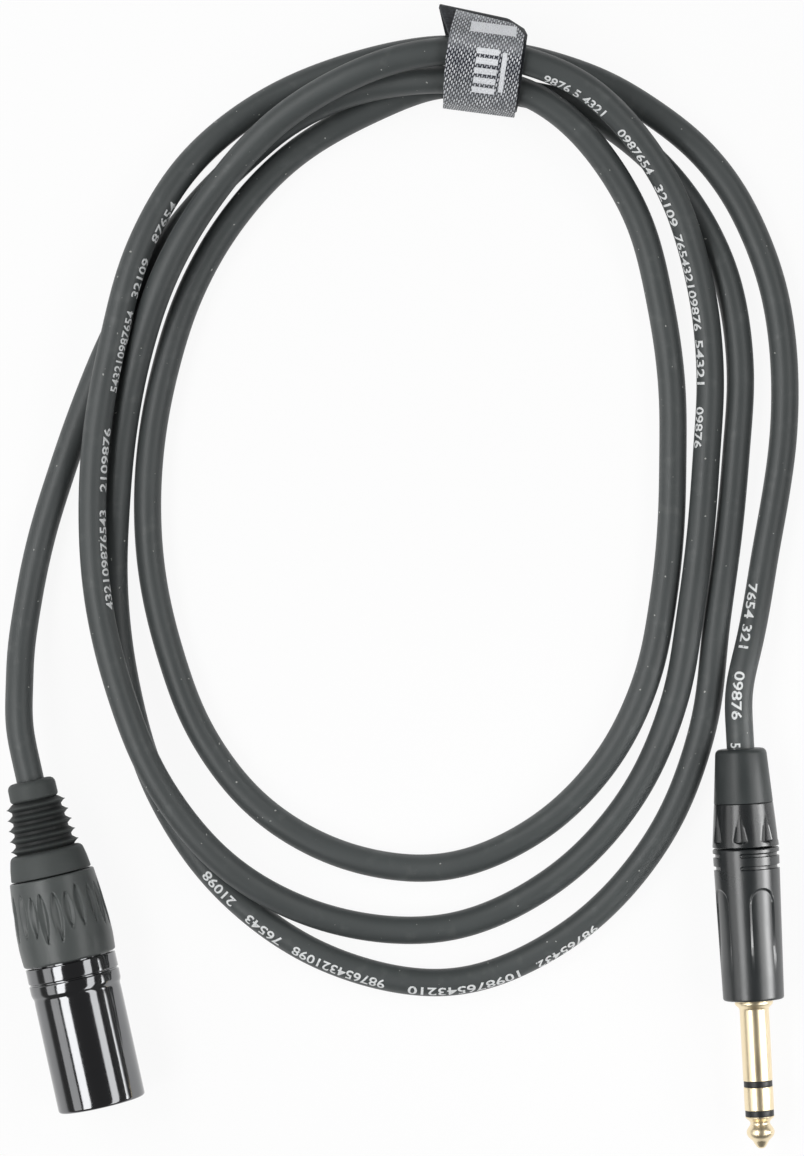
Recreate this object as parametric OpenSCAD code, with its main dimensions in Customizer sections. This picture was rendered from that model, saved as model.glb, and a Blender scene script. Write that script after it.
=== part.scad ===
/* [Cable] */
// Outer diameter of the cable's jacket
cable_d = 6; // [5.6:0.1:6.2]
// Air between two strands that lie against each other
strand_gap = 0.5; // [0.45:0.05:0.7]
// Length of jacket that shows behind a boot and stays straight for it to slide on
straight_l = 6; // [6:0.5:9]
// Diameter of one insulated core inside the jacket
core_d = 1.5; // [1.2:0.1:1.6]

/* [Fits] */
// Radial play between two pieces that turn or slide on each other
run_gap = 0.05; // [0.03:0.01:0.09]
// Seam between the faces of two pieces that turn against each other
seam = 0.3; // [0.3:0.05:0.6]

/* [XLR plug] */
// Length of the ribbed boot
xlr_boot_l = 20.7; // [19:0.1:24]
// Diameter of the boot's smooth cap
xlr_cap_d = 10.4; // [9.5:0.1:11]
// Length of the boot's smooth cap
xlr_cap_l = 4.5; // [3.5:0.1:6]
// Diameter of the boot's collar at the seam
xlr_collar_d = 17.6; // [16.5:0.1:18.2]
// Length of the boot's collar
xlr_collar_l = 4.7; // [3.5:0.1:6]
// Diameter of the largest boot fin
xlr_fin_d = 15; // [13.5:0.1:16]
// Diameter of the spigot that keys the boot into the bushing
xlr_spigot_d = 12; // [11.6:0.1:13]
// Length of the boot's spigot
xlr_spigot_l = 3.2; // [2:0.1:3.4]
// Largest diameter of the grip bushing
xlr_grip_d = 20.6; // [20:0.1:22]
// Length of the grip bushing
xlr_grip_l = 18.4; // [17:0.1:21]
// Depth of the finger flutes in the bushing
xlr_flute_depth = 0.45; // [0.2:0.05:0.8]
// Diameter of the shell's threaded neck
xlr_neck_d = 16.4; // [15.8:0.1:17]
// Length of the shell's threaded neck
xlr_neck_l = 11; // [9:0.1:12.5]
// Outer diameter of the shell's nose
xlr_nose_d = 19; // [18.8:0.1:19.4]
// Bore of the shell's nose
xlr_bore_d = 16; // [15.6:0.1:16.4]
// Length of the shell in front of its shoulder
xlr_shell_l = 31.8; // [29:0.1:34]
// Depth of the socket from the rim to the insert's face
xlr_socket_depth = 15.5; // [14:0.1:16.5]
// Thickness of the contact insert
xlr_insert_l = 10; // [8:0.1:11]
// Diameter of a contact pin
xlr_pin_d = 2.4; // [2.2:0.1:2.6]
// Diameter of a contact pin where it sits in the insert
xlr_pin_seat_d = 2.8; // [2.7:0.1:3.2]
// Distance of the pins from the axis
xlr_pin_r = 4.3; // [4:0.1:4.8]
// Distance from the rim back to the tip of a pin
xlr_pin_recess = 2.2; // [1.5:0.1:3]
// Diameter of the cable chuck
xlr_chuck_d = 11.4; // [10.5:0.1:11.5]
// Length of the cable chuck
xlr_chuck_l = 12.1; // [11:0.1:13]

/* [Jack plug] */
// Length of the soft boot
jack_boot_l = 11.5; // [10:0.1:14]
// Diameter of the boot where the cable enters
jack_boot_rear_d = 11; // [10.4:0.1:12]
// Diameter of the boot at the seam
jack_boot_front_d = 12.8; // [12:0.1:13.4]
// Diameter of the spigot that keys the boot into the bushing
jack_spigot_d = 9.6; // [9.4:0.1:10.2]
// Length of the boot's spigot
jack_spigot_l = 2.3; // [1.5:0.1:2.5]
// Length of the screwed bushing
jack_bushing_l = 9.4; // [8.5:0.1:11]
// Diameter of the barrel at its rear, where it is widest
jack_barrel_d = 14.4; // [13.8:0.1:15.2]
// Diameter of the barrel at its front rim
jack_rim_d = 13.2; // [12.6:0.1:13.8]
// Length of the barrel
jack_barrel_l = 32.9; // [31:0.1:36]
// Bore of the barrel
jack_bore_d = 11.7; // [11.4:0.1:12.2]
// Length of the bushing's screw thread inside the barrel
jack_thread_l = 6.5; // [5:0.1:6.6]
// Thickness of the web that closes the barrel's front
jack_web_t = 4.4; // [3:0.1:5]
// Diameter of the plug finger
jack_finger_d = 6.35; // [6.3:0.01:6.4]
// Length of the plug finger in front of the barrel
jack_finger_l = 32.3; // [31:0.1:34]
// Diameter of the collar at the root of the finger
jack_collar_d = 8.4; // [7.6:0.1:9.4]
// Width of an insulating ring on the finger
jack_gap_w = 1.3; // [1:0.1:1.6]
// Width of the ring contact
jack_ring_w = 5.1; // [4.4:0.1:5.8]
// Length of the tip contact
jack_tip_l = 7.05; // [6.5:0.05:8]
// Diameter of the cable clamp
jack_clamp_d = 8.8; // [8.2:0.1:8.8]
// Thickness of the insulating liner in the barrel
jack_liner_t = 0.55; // [0.4:0.05:0.8]

/* [Strap] */
// Width of the strap along the bundle
strap_w = 16; // [12:0.5:20]
// Thickness of the black band
strap_t = 1; // [0.8:0.1:1.4]
// Play between the strands and the band
strap_play = 0.3; // [0.2:0.05:0.5]
// Thickness of the hook tape under the label
hook_t = 0.6; // [0.5:0.1:1]
// Thickness of the woven label
label_t = 0.6; // [0.5:0.1:1]
// Height of the hook tape over the band, where their hooks and loops meet
pile = 0.5; // [0.5:0.05:0.8]
// How far the pull tab sticks out past the bundle
tab_reach = 5; // [4:0.5:8]
// Turn of the strap away from the sheet's long side
strap_tilt = 7.5; // [0:0.5:10]

/* [Layout] */
// Place of the XLR boot's rear face from the left and right middle
xlr_x = -78.5; // [-80:0.5:-76]
// Place of the XLR boot's rear face along the long side
xlr_y = -43.7; // [-46:0.1:-42]
// Turn of the XLR plug away from the long side
xlr_yaw = 12.5; // [8:0.5:15]
// Place of the jack boot's rear face from the left and right middle
jack_x = 75; // [74:0.1:76]
// Place of the jack boot's rear face along the long side
jack_y = -36.9; // [-39:0.1:-36]
// Turn of the jack plug away from the long side
jack_yaw = 3; // [1:0.5:5]

/* [Hidden] */

rubber = "#3c4040";
plastic = "#4a4e4e";
black_nickel = "#8a9092";
gloss_black = "#202324";
gold = "#e6c583";
brass = "#c9a85c";
jacket = "#4e5353";
pale_plastic = "#c9c7bf";
black_plastic = "#191b1d";
core_red = "firebrick";
band_black = "#26292b";
tape_black = "#1d1f21";
woven_grey = "#9a9ea0";

cable_r = cable_d / 2;
// Rise of one strand that passes over another
layer = cable_d + strand_gap;
// Rise, in layers, of a strand that lies on the strap's band
on_band = (strap_t + strap_play) / layer;

// The coil is three turns. Its radius is given at half past each of twelve hours, clockwise from
// the strap, with two hours of the XLR tail before them and two hours of the jack tail after them.
coil_centre = [4, 21];
strap_bearing = 80;
turns = 3;
rings_per_turn = 24;
coil_sides = 6;
lead_in = [76.5, 86.2];
turn_1 = [84.2, 66, 56.8, 60.2, 73.9, 84.2, 78.4, 64.5, 57.9, 59.2, 69, 82];
turn_2 = [89, 82.2, 70.6, 72.9, 94, 109.3, 97.2, 76.2, 64.6, 65.6, 75.6, 89.4];
turn_3 = [92, 75.9, 64, 66.6, 83.5, 97.3, 92.9, 77.6, 69.5, 71.4, 84.2, 92];
lead_out = [95.4, 91.6];
radii = concat(lead_in, turn_1, turn_2, turn_3, lead_out);
// Hour and rise in layers: between two of them the strand rises or falls smoothly
rises = [[0, 1.03 + on_band], [0.2, 1.03 + on_band], [1.5, 0], [11.2, 0], [12, on_band],
    [12.8, 0], [20, 0],
    [20.7, 0.28], [21.1, 0.28], [22.2, 1.02], [22.5, 1.02], [23.5, 2], [24, 1.8 + on_band],
    [26, 0.31], [27.5, 0.31], [28.2, 0], [29.6, 0], [30.9, 1.02], [33.8, 1.02], [35, 0],
    [36, on_band]];

// The tails between the coil and the plugs: x, y and rise in layers
xlr_tail_route = [[-81, -24, 0.85], [-81, -16, 0.46], [-80, -8, 0.12], [-78.5, 1, 0], [-76, 11.5, 0],
    [-73, 21, 0], [-70, 30, 0], [-66.5, 39.5, 0], [-61.5, 51.5, 0], [-54.5, 64.5, 0],
    [-48, 74.5, 0], [-40, 84, 0], [-32.4, 91.3, 0.05], [-24, 98.2, 0.42], [-14, 103.4, 0.7],
    [-3.5, 106.4, 0.96]];
jack_tail_route = [[36, 111, 0.06], [46.3, 107.2, 0], [56.5, 101, 0], [65.5, 94, 0], [73, 85, 0],
    [78.5, 74.5, 0], [82.5, 63, 0], [84.5, 51, 0], [85, 40, 0], [84.5, 29, 0],
    [82.7, 16.5, 0], [80.6, 5, 0], [79, -5, 0.03], [77, -14.5, 0.37]];
tail_sides = 10;

// Small bevel on an outer edge
edge = 0.6;
// How far a cut runs past the face that it opens
past = 1;

// Travel of each boot and bushing as the bushing is screwed off, along the cable
screw_travel = straight_l - 1;

// Stations along the XLR plug, from the boot's rear face towards the rim
xlr_grip_s = xlr_boot_l + seam;
xlr_shell_s = xlr_grip_s + xlr_grip_l + seam;
xlr_rim_s = xlr_shell_s + xlr_shell_l;
xlr_neck_s = xlr_shell_s - xlr_neck_l;
xlr_face_s = xlr_rim_s - xlr_socket_depth;
xlr_seat_s = xlr_face_s - xlr_insert_l;
xlr_chuck_s = xlr_boot_l + xlr_spigot_l + 0.5;
xlr_chuck_end_s = xlr_chuck_s + xlr_chuck_l;
xlr_jacket_end_s = xlr_chuck_end_s - 1.5;
// Solder cup behind each pin
xlr_cup_l = 3.5;
xlr_cup_d = core_d + 1.6;
xlr_pin_turns = [28, 152, 270];
xlr_chamber_d = xlr_bore_d - 2;
xlr_axis_z = xlr_grip_d / 2;

// Stations along the jack plug, from the boot's rear face towards the tip
jack_bushing_s = jack_boot_l + seam;
jack_barrel_s = jack_bushing_s + jack_bushing_l + seam;
jack_rim_s = jack_barrel_s + jack_barrel_l;
jack_tip_end_s = jack_rim_s + jack_finger_l;
jack_tip_s = jack_tip_end_s - jack_tip_l;
jack_ring_end_s = jack_tip_s - jack_gap_w;
jack_ring_s = jack_ring_end_s - jack_ring_w;
jack_sleeve_end_s = jack_ring_s - jack_gap_w;
jack_collar_l = 1.8;
jack_web_s = jack_rim_s - jack_web_t;
jack_flange_l = 3;
jack_flange_s = jack_web_s - jack_flange_l;
jack_thread_end_s = jack_barrel_s - seam + jack_thread_l;
jack_clamp_s = jack_boot_l + jack_spigot_l + 0.7;
jack_clamp_flange_s = jack_thread_end_s + 0.4;
jack_clamp_flange_l = 1.6;
jack_clamp_end_s = jack_clamp_flange_s + jack_clamp_flange_l;
jack_jacket_end_s = jack_clamp_end_s - 3;
jack_axis_z = jack_barrel_d / 2;
// Nested contacts on the finger's axis
tip_rod_r = 1;
front_tube_r = 1.4;
ring_tube_r = 1.9;
rear_tube_r = 2.3;
lug_t = 0.5;

strand_points = 4;

// ---- the cable's route ----

function smooth(t) = t * t * (3 - 2 * t);

// Catmull-Rom curve through four values
function through(a, b, c, d, t) =
    0.5 * (2 * b + (c - a) * t + (2 * a - 5 * b + 4 * c - d) * t * t
        + (3 * b - a - 3 * c + d) * t * t * t);

function coil_radius(hour) =
    let (place = hour + 1.5, i = floor(place), last = len(radii) - 1)
    through(radii[max(i - 1, 0)], radii[i], radii[min(i + 1, last)], radii[min(i + 2, last)],
        place - i);

function coil_rise(hour, i = 0) =
    hour <= rises[0][0] ? rises[0][1]
    : i >= len(rises) - 1 ? rises[i][1]
    : hour <= rises[i + 1][0]
        ? rises[i][1] + (rises[i + 1][1] - rises[i][1])
            * smooth((hour - rises[i][0]) / (rises[i + 1][0] - rises[i][0]))
    : coil_rise(hour, i + 1);

function height(rise) = cable_r + rise * layer;

function coil_point(hour) =
    let (bearing = strap_bearing - 30 * hour, r = coil_radius(hour))
    [coil_centre.x + r * cos(bearing), coil_centre.y + r * sin(bearing), height(coil_rise(hour))];

function unit(v) = v / norm(v);

// Every strand runs straight through the strap, along it
strap_way = [cos(strap_tilt), -sin(strap_tilt), 0];
half_strap = strap_w / 2 * strap_way;
coil_start = coil_point(0);
coil_end = coil_point(12 * turns);
coil_path = concat(
    [coil_start, coil_start + half_strap],
    [for (i = [1 : turns * rings_per_turn - 1])
        let (p = coil_point(i * 12 / rings_per_turn))
        each i % rings_per_turn == 0 ? [p - half_strap, p + half_strap] : [p]],
    [coil_end - half_strap, coil_end]);

function plug_way(yaw) = [sin(yaw), -cos(yaw), 0];

xlr_at = [xlr_x, xlr_y, xlr_axis_z];
jack_at = [jack_x, jack_y, jack_axis_z];
xlr_exit = xlr_at - straight_l * plug_way(xlr_yaw);
jack_exit = jack_at - straight_l * plug_way(jack_yaw);
xlr_tail_path = concat(
    [xlr_exit, xlr_exit - cable_d * plug_way(xlr_yaw)],
    [for (p = xlr_tail_route) [p.x, p.y, height(p.z)]],
    [coil_start - half_strap, coil_start]);
jack_tail_path = concat(
    [coil_end, coil_end + half_strap],
    [for (p = jack_tail_route) [p.x, p.y, height(p.z)]],
    [jack_exit - cable_d * plug_way(jack_yaw), jack_exit]);

// Least air between two strands, measured on points along the whole cable
function halved(path, n) =
    [for (i = [0 : len(path) - 2]) for (k = [0 : n - 1]) path[i] + (path[i + 1] - path[i]) * k / n];

function lengths(path) =
    [for (i = 0, sum = 0; i < len(path);
        sum = sum + (i < len(path) - 1 ? norm(path[i + 1] - path[i]) : 0), i = i + 1) sum];

function least_air(path) =
    let (run = lengths(path))
    min([for (i = [0 : len(path) - 1]) for (k = [i + 1 : 1 : len(path) - 1])
        if (run[k] - run[i] > 5 * cable_d) norm(path[k] - path[i])]) - cable_d;

// ---- shared shapes ----

// Tube swept along points, with a corner of every ring straight away from the given way up
module swept(path, sides, r = cable_r, up = [0, 0, 1]) {
    last = len(path) - 1;
    points = [for (i = [0 : last])
        let (way = unit(path[min(i + 1, last)] - path[max(i - 1, 0)]),
            side = unit(cross(way, up)), top = cross(side, way))
        for (k = [0 : sides - 1])
            path[i] + r * (cos(360 * k / sides - 90) * side + sin(360 * k / sides - 90) * top)];
    walls = [for (i = [0 : last - 1]) for (k = [0 : sides - 1])
        let (a = i * sides + k, b = i * sides + (k + 1) % sides)
        each [[a, b, b + sides], [a, b + sides, a + sides]]];
    rear = [for (k = [1 : sides - 2]) [0, k + 1, k]];
    front = [for (k = [1 : sides - 2]) [0, k, k + 1] + last * sides * [1, 1, 1]];
    polyhedron(points, concat(walls, rear, front));
}

module on_xlr() {
    translate(xlr_at) rotate([0, 0, xlr_yaw]) rotate([90, 0, 0]) children();
}

module on_jack() {
    translate(jack_at) rotate([0, 0, jack_yaw]) rotate([90, 0, 0]) children();
}

// Cylinder or cone from one station to another along a plug
module barrel(from, to, d, d_end = undef) {
    translate([0, 0, from])
        cylinder(h = to - from, d1 = d, d2 = is_undef(d_end) ? d : d_end, $fn = 64);
}

// Straight round wire between two points
module rod(a, b, d) {
    way = b - a;
    translate(a) rotate([0, acos(way.z / norm(way)), atan2(way.y, way.x)])
        cylinder(h = norm(way), d = d, $fn = 24);
}

// Insulated core through a list of points, along a plug
module core(path) {
    swept(path, 12, core_d / 2, [0, 1, 0]);
}

// ---- the cable ----

module cable_coil() {
    color(jacket) swept(coil_path, coil_sides);
}

module cable_tail_xlr() {
    color(jacket) swept(xlr_tail_path, tail_sides);
}

module cable_tail_jack() {
    color(jacket) swept(jack_tail_path, tail_sides);
}

module cable_end_xlr() {
    color(jacket) on_xlr() barrel(-straight_l, xlr_jacket_end_s, cable_d);
}

module cable_end_jack() {
    color(jacket) on_jack() barrel(-straight_l, jack_jacket_end_s, cable_d);
}

// ---- the XLR plug ----

fins = 5;

module xlr_boot() {
    collar_s = xlr_boot_l - xlr_collar_l;
    end_s = xlr_boot_l + xlr_spigot_l;
    pitch = (collar_s - xlr_cap_l) / fins;
    fin_growth = 0.5;
    root_d = xlr_cap_d - 0.8;
    root_d_front = xlr_fin_d - 3;
    collar_taper = 1.6;
    color(rubber) on_xlr() difference() {
        union() {
            barrel(0, edge, xlr_cap_d - 2 * edge, xlr_cap_d);
            barrel(edge, xlr_cap_l, xlr_cap_d);
            barrel(xlr_cap_l, collar_s, root_d, root_d_front);
            for (i = [0 : fins - 1]) {
                s = xlr_cap_l + pitch * i;
                d = xlr_fin_d - fin_growth * (fins - 1 - i);
                d_root = root_d + (root_d_front - root_d) * i / fins;
                barrel(s + 0.1 * pitch, s + 0.5 * pitch, d_root, d);
                barrel(s + 0.5 * pitch, s + 0.9 * pitch, d, d_root);
            }
            barrel(collar_s, xlr_boot_l, xlr_collar_d - collar_taper, xlr_collar_d);
            barrel(xlr_boot_l, end_s, xlr_spigot_d);
        }
        barrel(-past, end_s + past, cable_d + 2 * run_gap);
    }
}

flutes = 22;

module xlr_bushing() {
    rear_d = xlr_collar_d + 0.8;
    end_s = xlr_grip_s + xlr_grip_l;
    middle_s = xlr_grip_s + 0.4 * xlr_grip_l;
    middle_d = rear_d + 0.68 * (xlr_grip_d - rear_d);
    widest_s = xlr_grip_s + 0.82 * xlr_grip_l;
    end_d = xlr_grip_d - 0.5;
    flute_r = 1.5;
    flute_from = [middle_d / 2 + flute_r - xlr_flute_depth - 0.4, 0, xlr_grip_s + 3];
    flute_to = [xlr_grip_d / 2 + flute_r - xlr_flute_depth, 0, widest_s - 1.5];
    color(plastic) on_xlr() difference() {
        union() {
            barrel(xlr_grip_s, middle_s, rear_d, middle_d);
            barrel(middle_s, widest_s, middle_d, xlr_grip_d);
            barrel(widest_s, end_s, xlr_grip_d, end_d);
        }
        barrel(xlr_grip_s - past, end_s, xlr_spigot_d + 2 * run_gap);
        barrel(xlr_neck_s - seam, end_s + past, xlr_neck_d + 2 * run_gap);
        for (i = [0 : flutes - 1]) rotate([0, 0, (i + 0.5) * 360 / flutes])
            rod(flute_from, flute_to, 2 * flute_r);
    }
}

module xlr_chuck() {
    slot_w = 1;
    slot_l = xlr_chuck_l / 2;
    color(pale_plastic) on_xlr() difference() {
        barrel(xlr_chuck_s, xlr_chuck_end_s, xlr_chuck_d);
        barrel(xlr_chuck_s - past, xlr_chuck_end_s + past, cable_d);
        for (turn = [0, 90]) rotate([0, 0, turn])
            translate([-xlr_chuck_d, -slot_w / 2, xlr_chuck_s - past])
                cube([2 * xlr_chuck_d, slot_w, slot_l + past]);
    }
}

module xlr_shell() {
    ring_d = xlr_nose_d + 0.8;
    ring_1_l = 3.3;
    ring_2_l = 2.4;
    groove_l = 0.6;
    groove_d = xlr_nose_d - 0.4;
    slope_l = 1.2;
    groove_s = xlr_shell_s + ring_1_l;
    ring_2_s = groove_s + groove_l;
    nose_s = ring_2_s + ring_2_l;
    key_w = 3.6;
    key_depth = 0.6;
    color(black_nickel) on_xlr() difference() {
        union() {
            barrel(xlr_neck_s, xlr_shell_s, xlr_neck_d);
            barrel(xlr_shell_s, groove_s, ring_d);
            barrel(groove_s, ring_2_s, groove_d);
            barrel(ring_2_s, nose_s, ring_d);
            barrel(nose_s, nose_s + slope_l, groove_d, xlr_nose_d);
            barrel(nose_s + slope_l, xlr_rim_s - edge, xlr_nose_d);
            barrel(xlr_rim_s - edge, xlr_rim_s, xlr_nose_d, xlr_nose_d - 2 * edge);
        }
        barrel(xlr_neck_s - past, xlr_seat_s, xlr_chuck_d);
        barrel(xlr_chuck_end_s, xlr_seat_s, xlr_chamber_d);
        barrel(xlr_seat_s, xlr_rim_s + past, xlr_bore_d);
        translate([-key_w / 2, 0, xlr_face_s])
            cube([key_w, xlr_bore_d / 2 + key_depth, xlr_socket_depth + past]);
    }
}

// Ground spring, in a slot in the insert's rim
contact_turn = 60;
contact_w = 3;
contact_t = 0.7;
contact_slot = 1;

module xlr_insert() {
    color(black_plastic) on_xlr() difference() {
        barrel(xlr_seat_s, xlr_face_s, xlr_bore_d);
        for (turn = xlr_pin_turns) rotate([0, 0, turn]) translate([xlr_pin_r, 0, 0])
            barrel(xlr_seat_s - past, xlr_face_s + past, xlr_pin_seat_d);
        rotate([0, 0, contact_turn])
            translate([-contact_w / 2, xlr_bore_d / 2 - contact_slot, xlr_seat_s - past])
                cube([contact_w, 2 * contact_slot, xlr_insert_l + 2 * past]);
    }
}

module xlr_pin(i) {
    tip_s = xlr_rim_s - xlr_pin_recess;
    cup_s = xlr_seat_s - xlr_cup_l;
    cup_floor = 0.5;
    color(brass) on_xlr() rotate([0, 0, xlr_pin_turns[i]]) translate([xlr_pin_r, 0, 0])
        difference() {
            union() {
                barrel(cup_s, xlr_seat_s, xlr_cup_d);
                barrel(xlr_seat_s, xlr_face_s, xlr_pin_seat_d);
                barrel(xlr_face_s, tip_s - edge, xlr_pin_d);
                barrel(tip_s - edge, tip_s, xlr_pin_d, xlr_pin_d - 2 * edge);
            }
            barrel(cup_s - past, xlr_seat_s - cup_floor, core_d + 2 * run_gap);
        }
}

module xlr_ground_contact() {
    color(brass) on_xlr() rotate([0, 0, contact_turn])
        translate([-contact_w / 2, xlr_bore_d / 2 - contact_slot, xlr_seat_s])
            cube([contact_w, contact_t, xlr_insert_l - 2 * contact_slot]);
}

// The cores leave the jacket at this distance from the axis
lay_r = core_d;

module xlr_cores() {
    spread_s = xlr_chuck_end_s + 0.5;
    cup_s = xlr_seat_s - xlr_cup_l;
    color(core_red) on_xlr() for (turn = xlr_pin_turns) rotate([0, 0, turn])
        core([[lay_r, 0, xlr_jacket_end_s], [lay_r, 0, spread_s], [xlr_pin_r, 0, cup_s - 0.4],
            [xlr_pin_r, 0, xlr_seat_s - 1]]);
}

// ---- the jack plug ----

module jack_boot() {
    end_s = jack_boot_l + jack_spigot_l;
    color(rubber) on_jack() difference() {
        union() {
            barrel(0, edge, jack_boot_rear_d - 2 * edge, jack_boot_rear_d);
            barrel(edge, jack_boot_l, jack_boot_rear_d, jack_boot_front_d);
            barrel(jack_boot_l, end_s, jack_spigot_d);
        }
        barrel(-past, end_s + past, cable_d + 2 * run_gap);
    }
}

notches = 7;

module jack_bushing() {
    end_s = jack_bushing_s + jack_bushing_l;
    notch_w = 3.6;
    notch_l = 6;
    notch_depth = 0.6;
    notch_rim = 1;
    color(gloss_black) on_jack() difference() {
        union() {
            barrel(jack_bushing_s, end_s, jack_boot_front_d, jack_barrel_d);
            barrel(end_s, jack_thread_end_s, jack_bore_d - 2 * run_gap);
        }
        barrel(jack_bushing_s - past, jack_thread_end_s + past, jack_spigot_d + 2 * run_gap);
        for (i = [0 : notches - 1]) rotate([0, 0, i * 360 / notches])
            translate([jack_barrel_d / 2 - notch_depth, 0, end_s - notch_rim]) rotate([90, 0, 90])
                linear_extrude(2 * notch_depth)
                    polygon([[-notch_w / 2, 0], [notch_w / 2, 0], [0, -notch_l]]);
    }
}

module jack_clamp() {
    slot_w = 1;
    slot_l = 5;
    color(pale_plastic) on_jack() difference() {
        union() {
            barrel(jack_clamp_s, jack_clamp_flange_s, jack_clamp_d);
            barrel(jack_clamp_flange_s, jack_clamp_end_s, jack_bore_d);
        }
        barrel(jack_clamp_s - past, jack_clamp_end_s + past, cable_d);
        translate([-jack_clamp_d, -slot_w / 2, jack_clamp_s - past])
            cube([2 * jack_clamp_d, slot_w, slot_l + past]);
    }
}

module jack_barrel() {
    grooves = 2;
    groove_w = 0.9;
    groove_pitch = 2.7;
    groove_depth = 0.5;
    groove_s = jack_barrel_s + 1;
    recesses = 4;
    recess_turn = 67.5;
    recess_w = 6.2;
    recess_l = 18.9;
    recess_depth = 0.45;
    recess_end_s = jack_rim_s - 5.5;
    arch_s = recess_end_s - recess_l + recess_w / 2;
    floor_r = (jack_barrel_d + jack_rim_d) / 4 - recess_depth;
    color(gloss_black) on_jack() difference() {
        union() {
            barrel(jack_barrel_s, jack_rim_s - edge, jack_barrel_d, jack_rim_d);
            barrel(jack_rim_s - edge, jack_rim_s, jack_rim_d, jack_rim_d - 2 * edge);
        }
        barrel(jack_barrel_s - past, jack_web_s, jack_bore_d);
        barrel(jack_web_s - past, jack_rim_s + past, jack_collar_d);
        for (i = [0 : grooves - 1]) difference() {
            s = groove_s + groove_pitch * i;
            barrel(s, s + groove_w, jack_barrel_d + past);
            barrel(s - past, s + groove_w + past, jack_barrel_d - 2 * groove_depth);
        }
        for (i = [0 : recesses - 1]) rotate([0, 0, recess_turn + i * 360 / recesses])
            translate([floor_r, 0, 0]) rotate([90, 0, 90]) linear_extrude(2 * past) {
                translate([0, arch_s]) circle(d = recess_w, $fn = 48);
                translate([-recess_w / 2, arch_s]) square([recess_w, recess_end_s - arch_s]);
            }
    }
}

module jack_liner() {
    color(pale_plastic) on_jack() difference() {
        barrel(jack_clamp_end_s, jack_flange_s, jack_bore_d);
        barrel(jack_clamp_end_s - past, jack_flange_s + past, jack_bore_d - 2 * jack_liner_t);
    }
}

// Solder lugs behind the sleeve, the ring and the tip, and how far each reaches back
sleeve_lug_x = -0.36 * jack_bore_d;
sleeve_lug_reach = 11;
ring_lug_reach = 9;
tip_lug_reach = 14;
sleeve_lug_s = jack_flange_s - sleeve_lug_reach;
ring_lug_s = jack_flange_s - ring_lug_reach;
tip_lug_s = jack_flange_s - tip_lug_reach;
// Stations where the nested tubes begin behind the flange
rear_tube_s = jack_flange_s - 2;
ring_tube_s = jack_flange_s - 5;
front_tube_s = jack_flange_s - 7;
tip_rod_s = jack_flange_s - 9;

module jack_sleeve() {
    lug_w = 3;
    color(gold) on_jack() difference() {
        union() {
            barrel(jack_flange_s, jack_web_s, jack_bore_d);
            barrel(jack_web_s, jack_rim_s, jack_collar_d);
            barrel(jack_rim_s, jack_rim_s + jack_collar_l, jack_collar_d, jack_finger_d);
            barrel(jack_rim_s + jack_collar_l, jack_sleeve_end_s, jack_finger_d);
            translate([sleeve_lug_x, -lug_w / 2, sleeve_lug_s])
                cube([lug_t, lug_w, jack_flange_s + past - sleeve_lug_s]);
        }
        barrel(jack_flange_s - past, jack_sleeve_end_s + past, 2 * rear_tube_r);
    }
}

module jack_insulator_rear() {
    color(black_plastic) on_jack() difference() {
        union() {
            barrel(rear_tube_s, jack_sleeve_end_s, 2 * rear_tube_r);
            barrel(jack_sleeve_end_s, jack_ring_s, jack_finger_d);
        }
        barrel(rear_tube_s - past, jack_ring_s + past, 2 * ring_tube_r);
    }
}

module jack_ring() {
    lug_w = 2;
    color(gold) on_jack() difference() {
        union() {
            barrel(ring_tube_s, jack_ring_s, 2 * ring_tube_r);
            barrel(jack_ring_s, jack_ring_end_s, jack_finger_d);
            translate([ring_tube_r - lug_t, -lug_w / 2, ring_lug_s])
                cube([lug_t, lug_w, ring_tube_s + past - ring_lug_s]);
        }
        barrel(ring_tube_s - past, jack_ring_end_s + past, 2 * front_tube_r);
    }
}

module jack_insulator_front() {
    color(black_plastic) on_jack() difference() {
        union() {
            barrel(front_tube_s, jack_ring_end_s, 2 * front_tube_r);
            barrel(jack_ring_end_s, jack_tip_s, jack_finger_d);
        }
        barrel(front_tube_s - past, jack_tip_s + past, 2 * tip_rod_r);
    }
}

module jack_tip() {
    root_r = jack_finger_d / 2;
    neck_r = 2.2;
    bulb_r = 2.95;
    color(gold) on_jack() union() {
        barrel(tip_rod_s, jack_tip_s, 2 * tip_rod_r);
        translate([0, 0, jack_tip_s]) rotate_extrude($fn = 64)
            polygon([[0, 0], [root_r, 0], [neck_r, 0.19 * jack_tip_l], [bulb_r, 0.46 * jack_tip_l],
                [0.9 * bulb_r, 0.6 * jack_tip_l], [0.5 * bulb_r, 0.85 * jack_tip_l],
                [0.2 * bulb_r, jack_tip_l], [0, jack_tip_l]]);
        translate([-tip_rod_r, -lug_t / 2, tip_lug_s])
            cube([2 * tip_rod_r, lug_t, tip_rod_s + past - tip_lug_s]);
    }
}

module jack_cores() {
    // Each core lies flat on its lug
    off_lug = core_d / 2 + 0.02;
    tip_y = lug_t / 2 + off_lug;
    ring_x = ring_tube_r + off_lug;
    sleeve_x = sleeve_lug_x + lug_t + off_lug;
    soldered_l = 3;
    // Each core leaves the jacket straight
    side_x = lay_r * cos(30);
    side_y = -lay_r / 2;
    from_s = jack_jacket_end_s;
    out_s = from_s + 0.5;
    color(core_red) on_jack() {
        core([[0, lay_r, from_s], [0, lay_r, out_s], [0, tip_y, tip_lug_s],
            [0, tip_y, tip_lug_s + soldered_l]]);
        core([[side_x, side_y, from_s], [side_x, side_y, out_s], [ring_x, 0, ring_lug_s],
            [ring_x, 0, ring_lug_s + soldered_l]]);
        core([[-side_x, side_y, from_s], [-side_x, side_y, out_s], [sleeve_x, 0, sleeve_lug_s],
            [sleeve_x, 0, sleeve_lug_s + soldered_l]]);
    }
}

// ---- the strap ----

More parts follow.
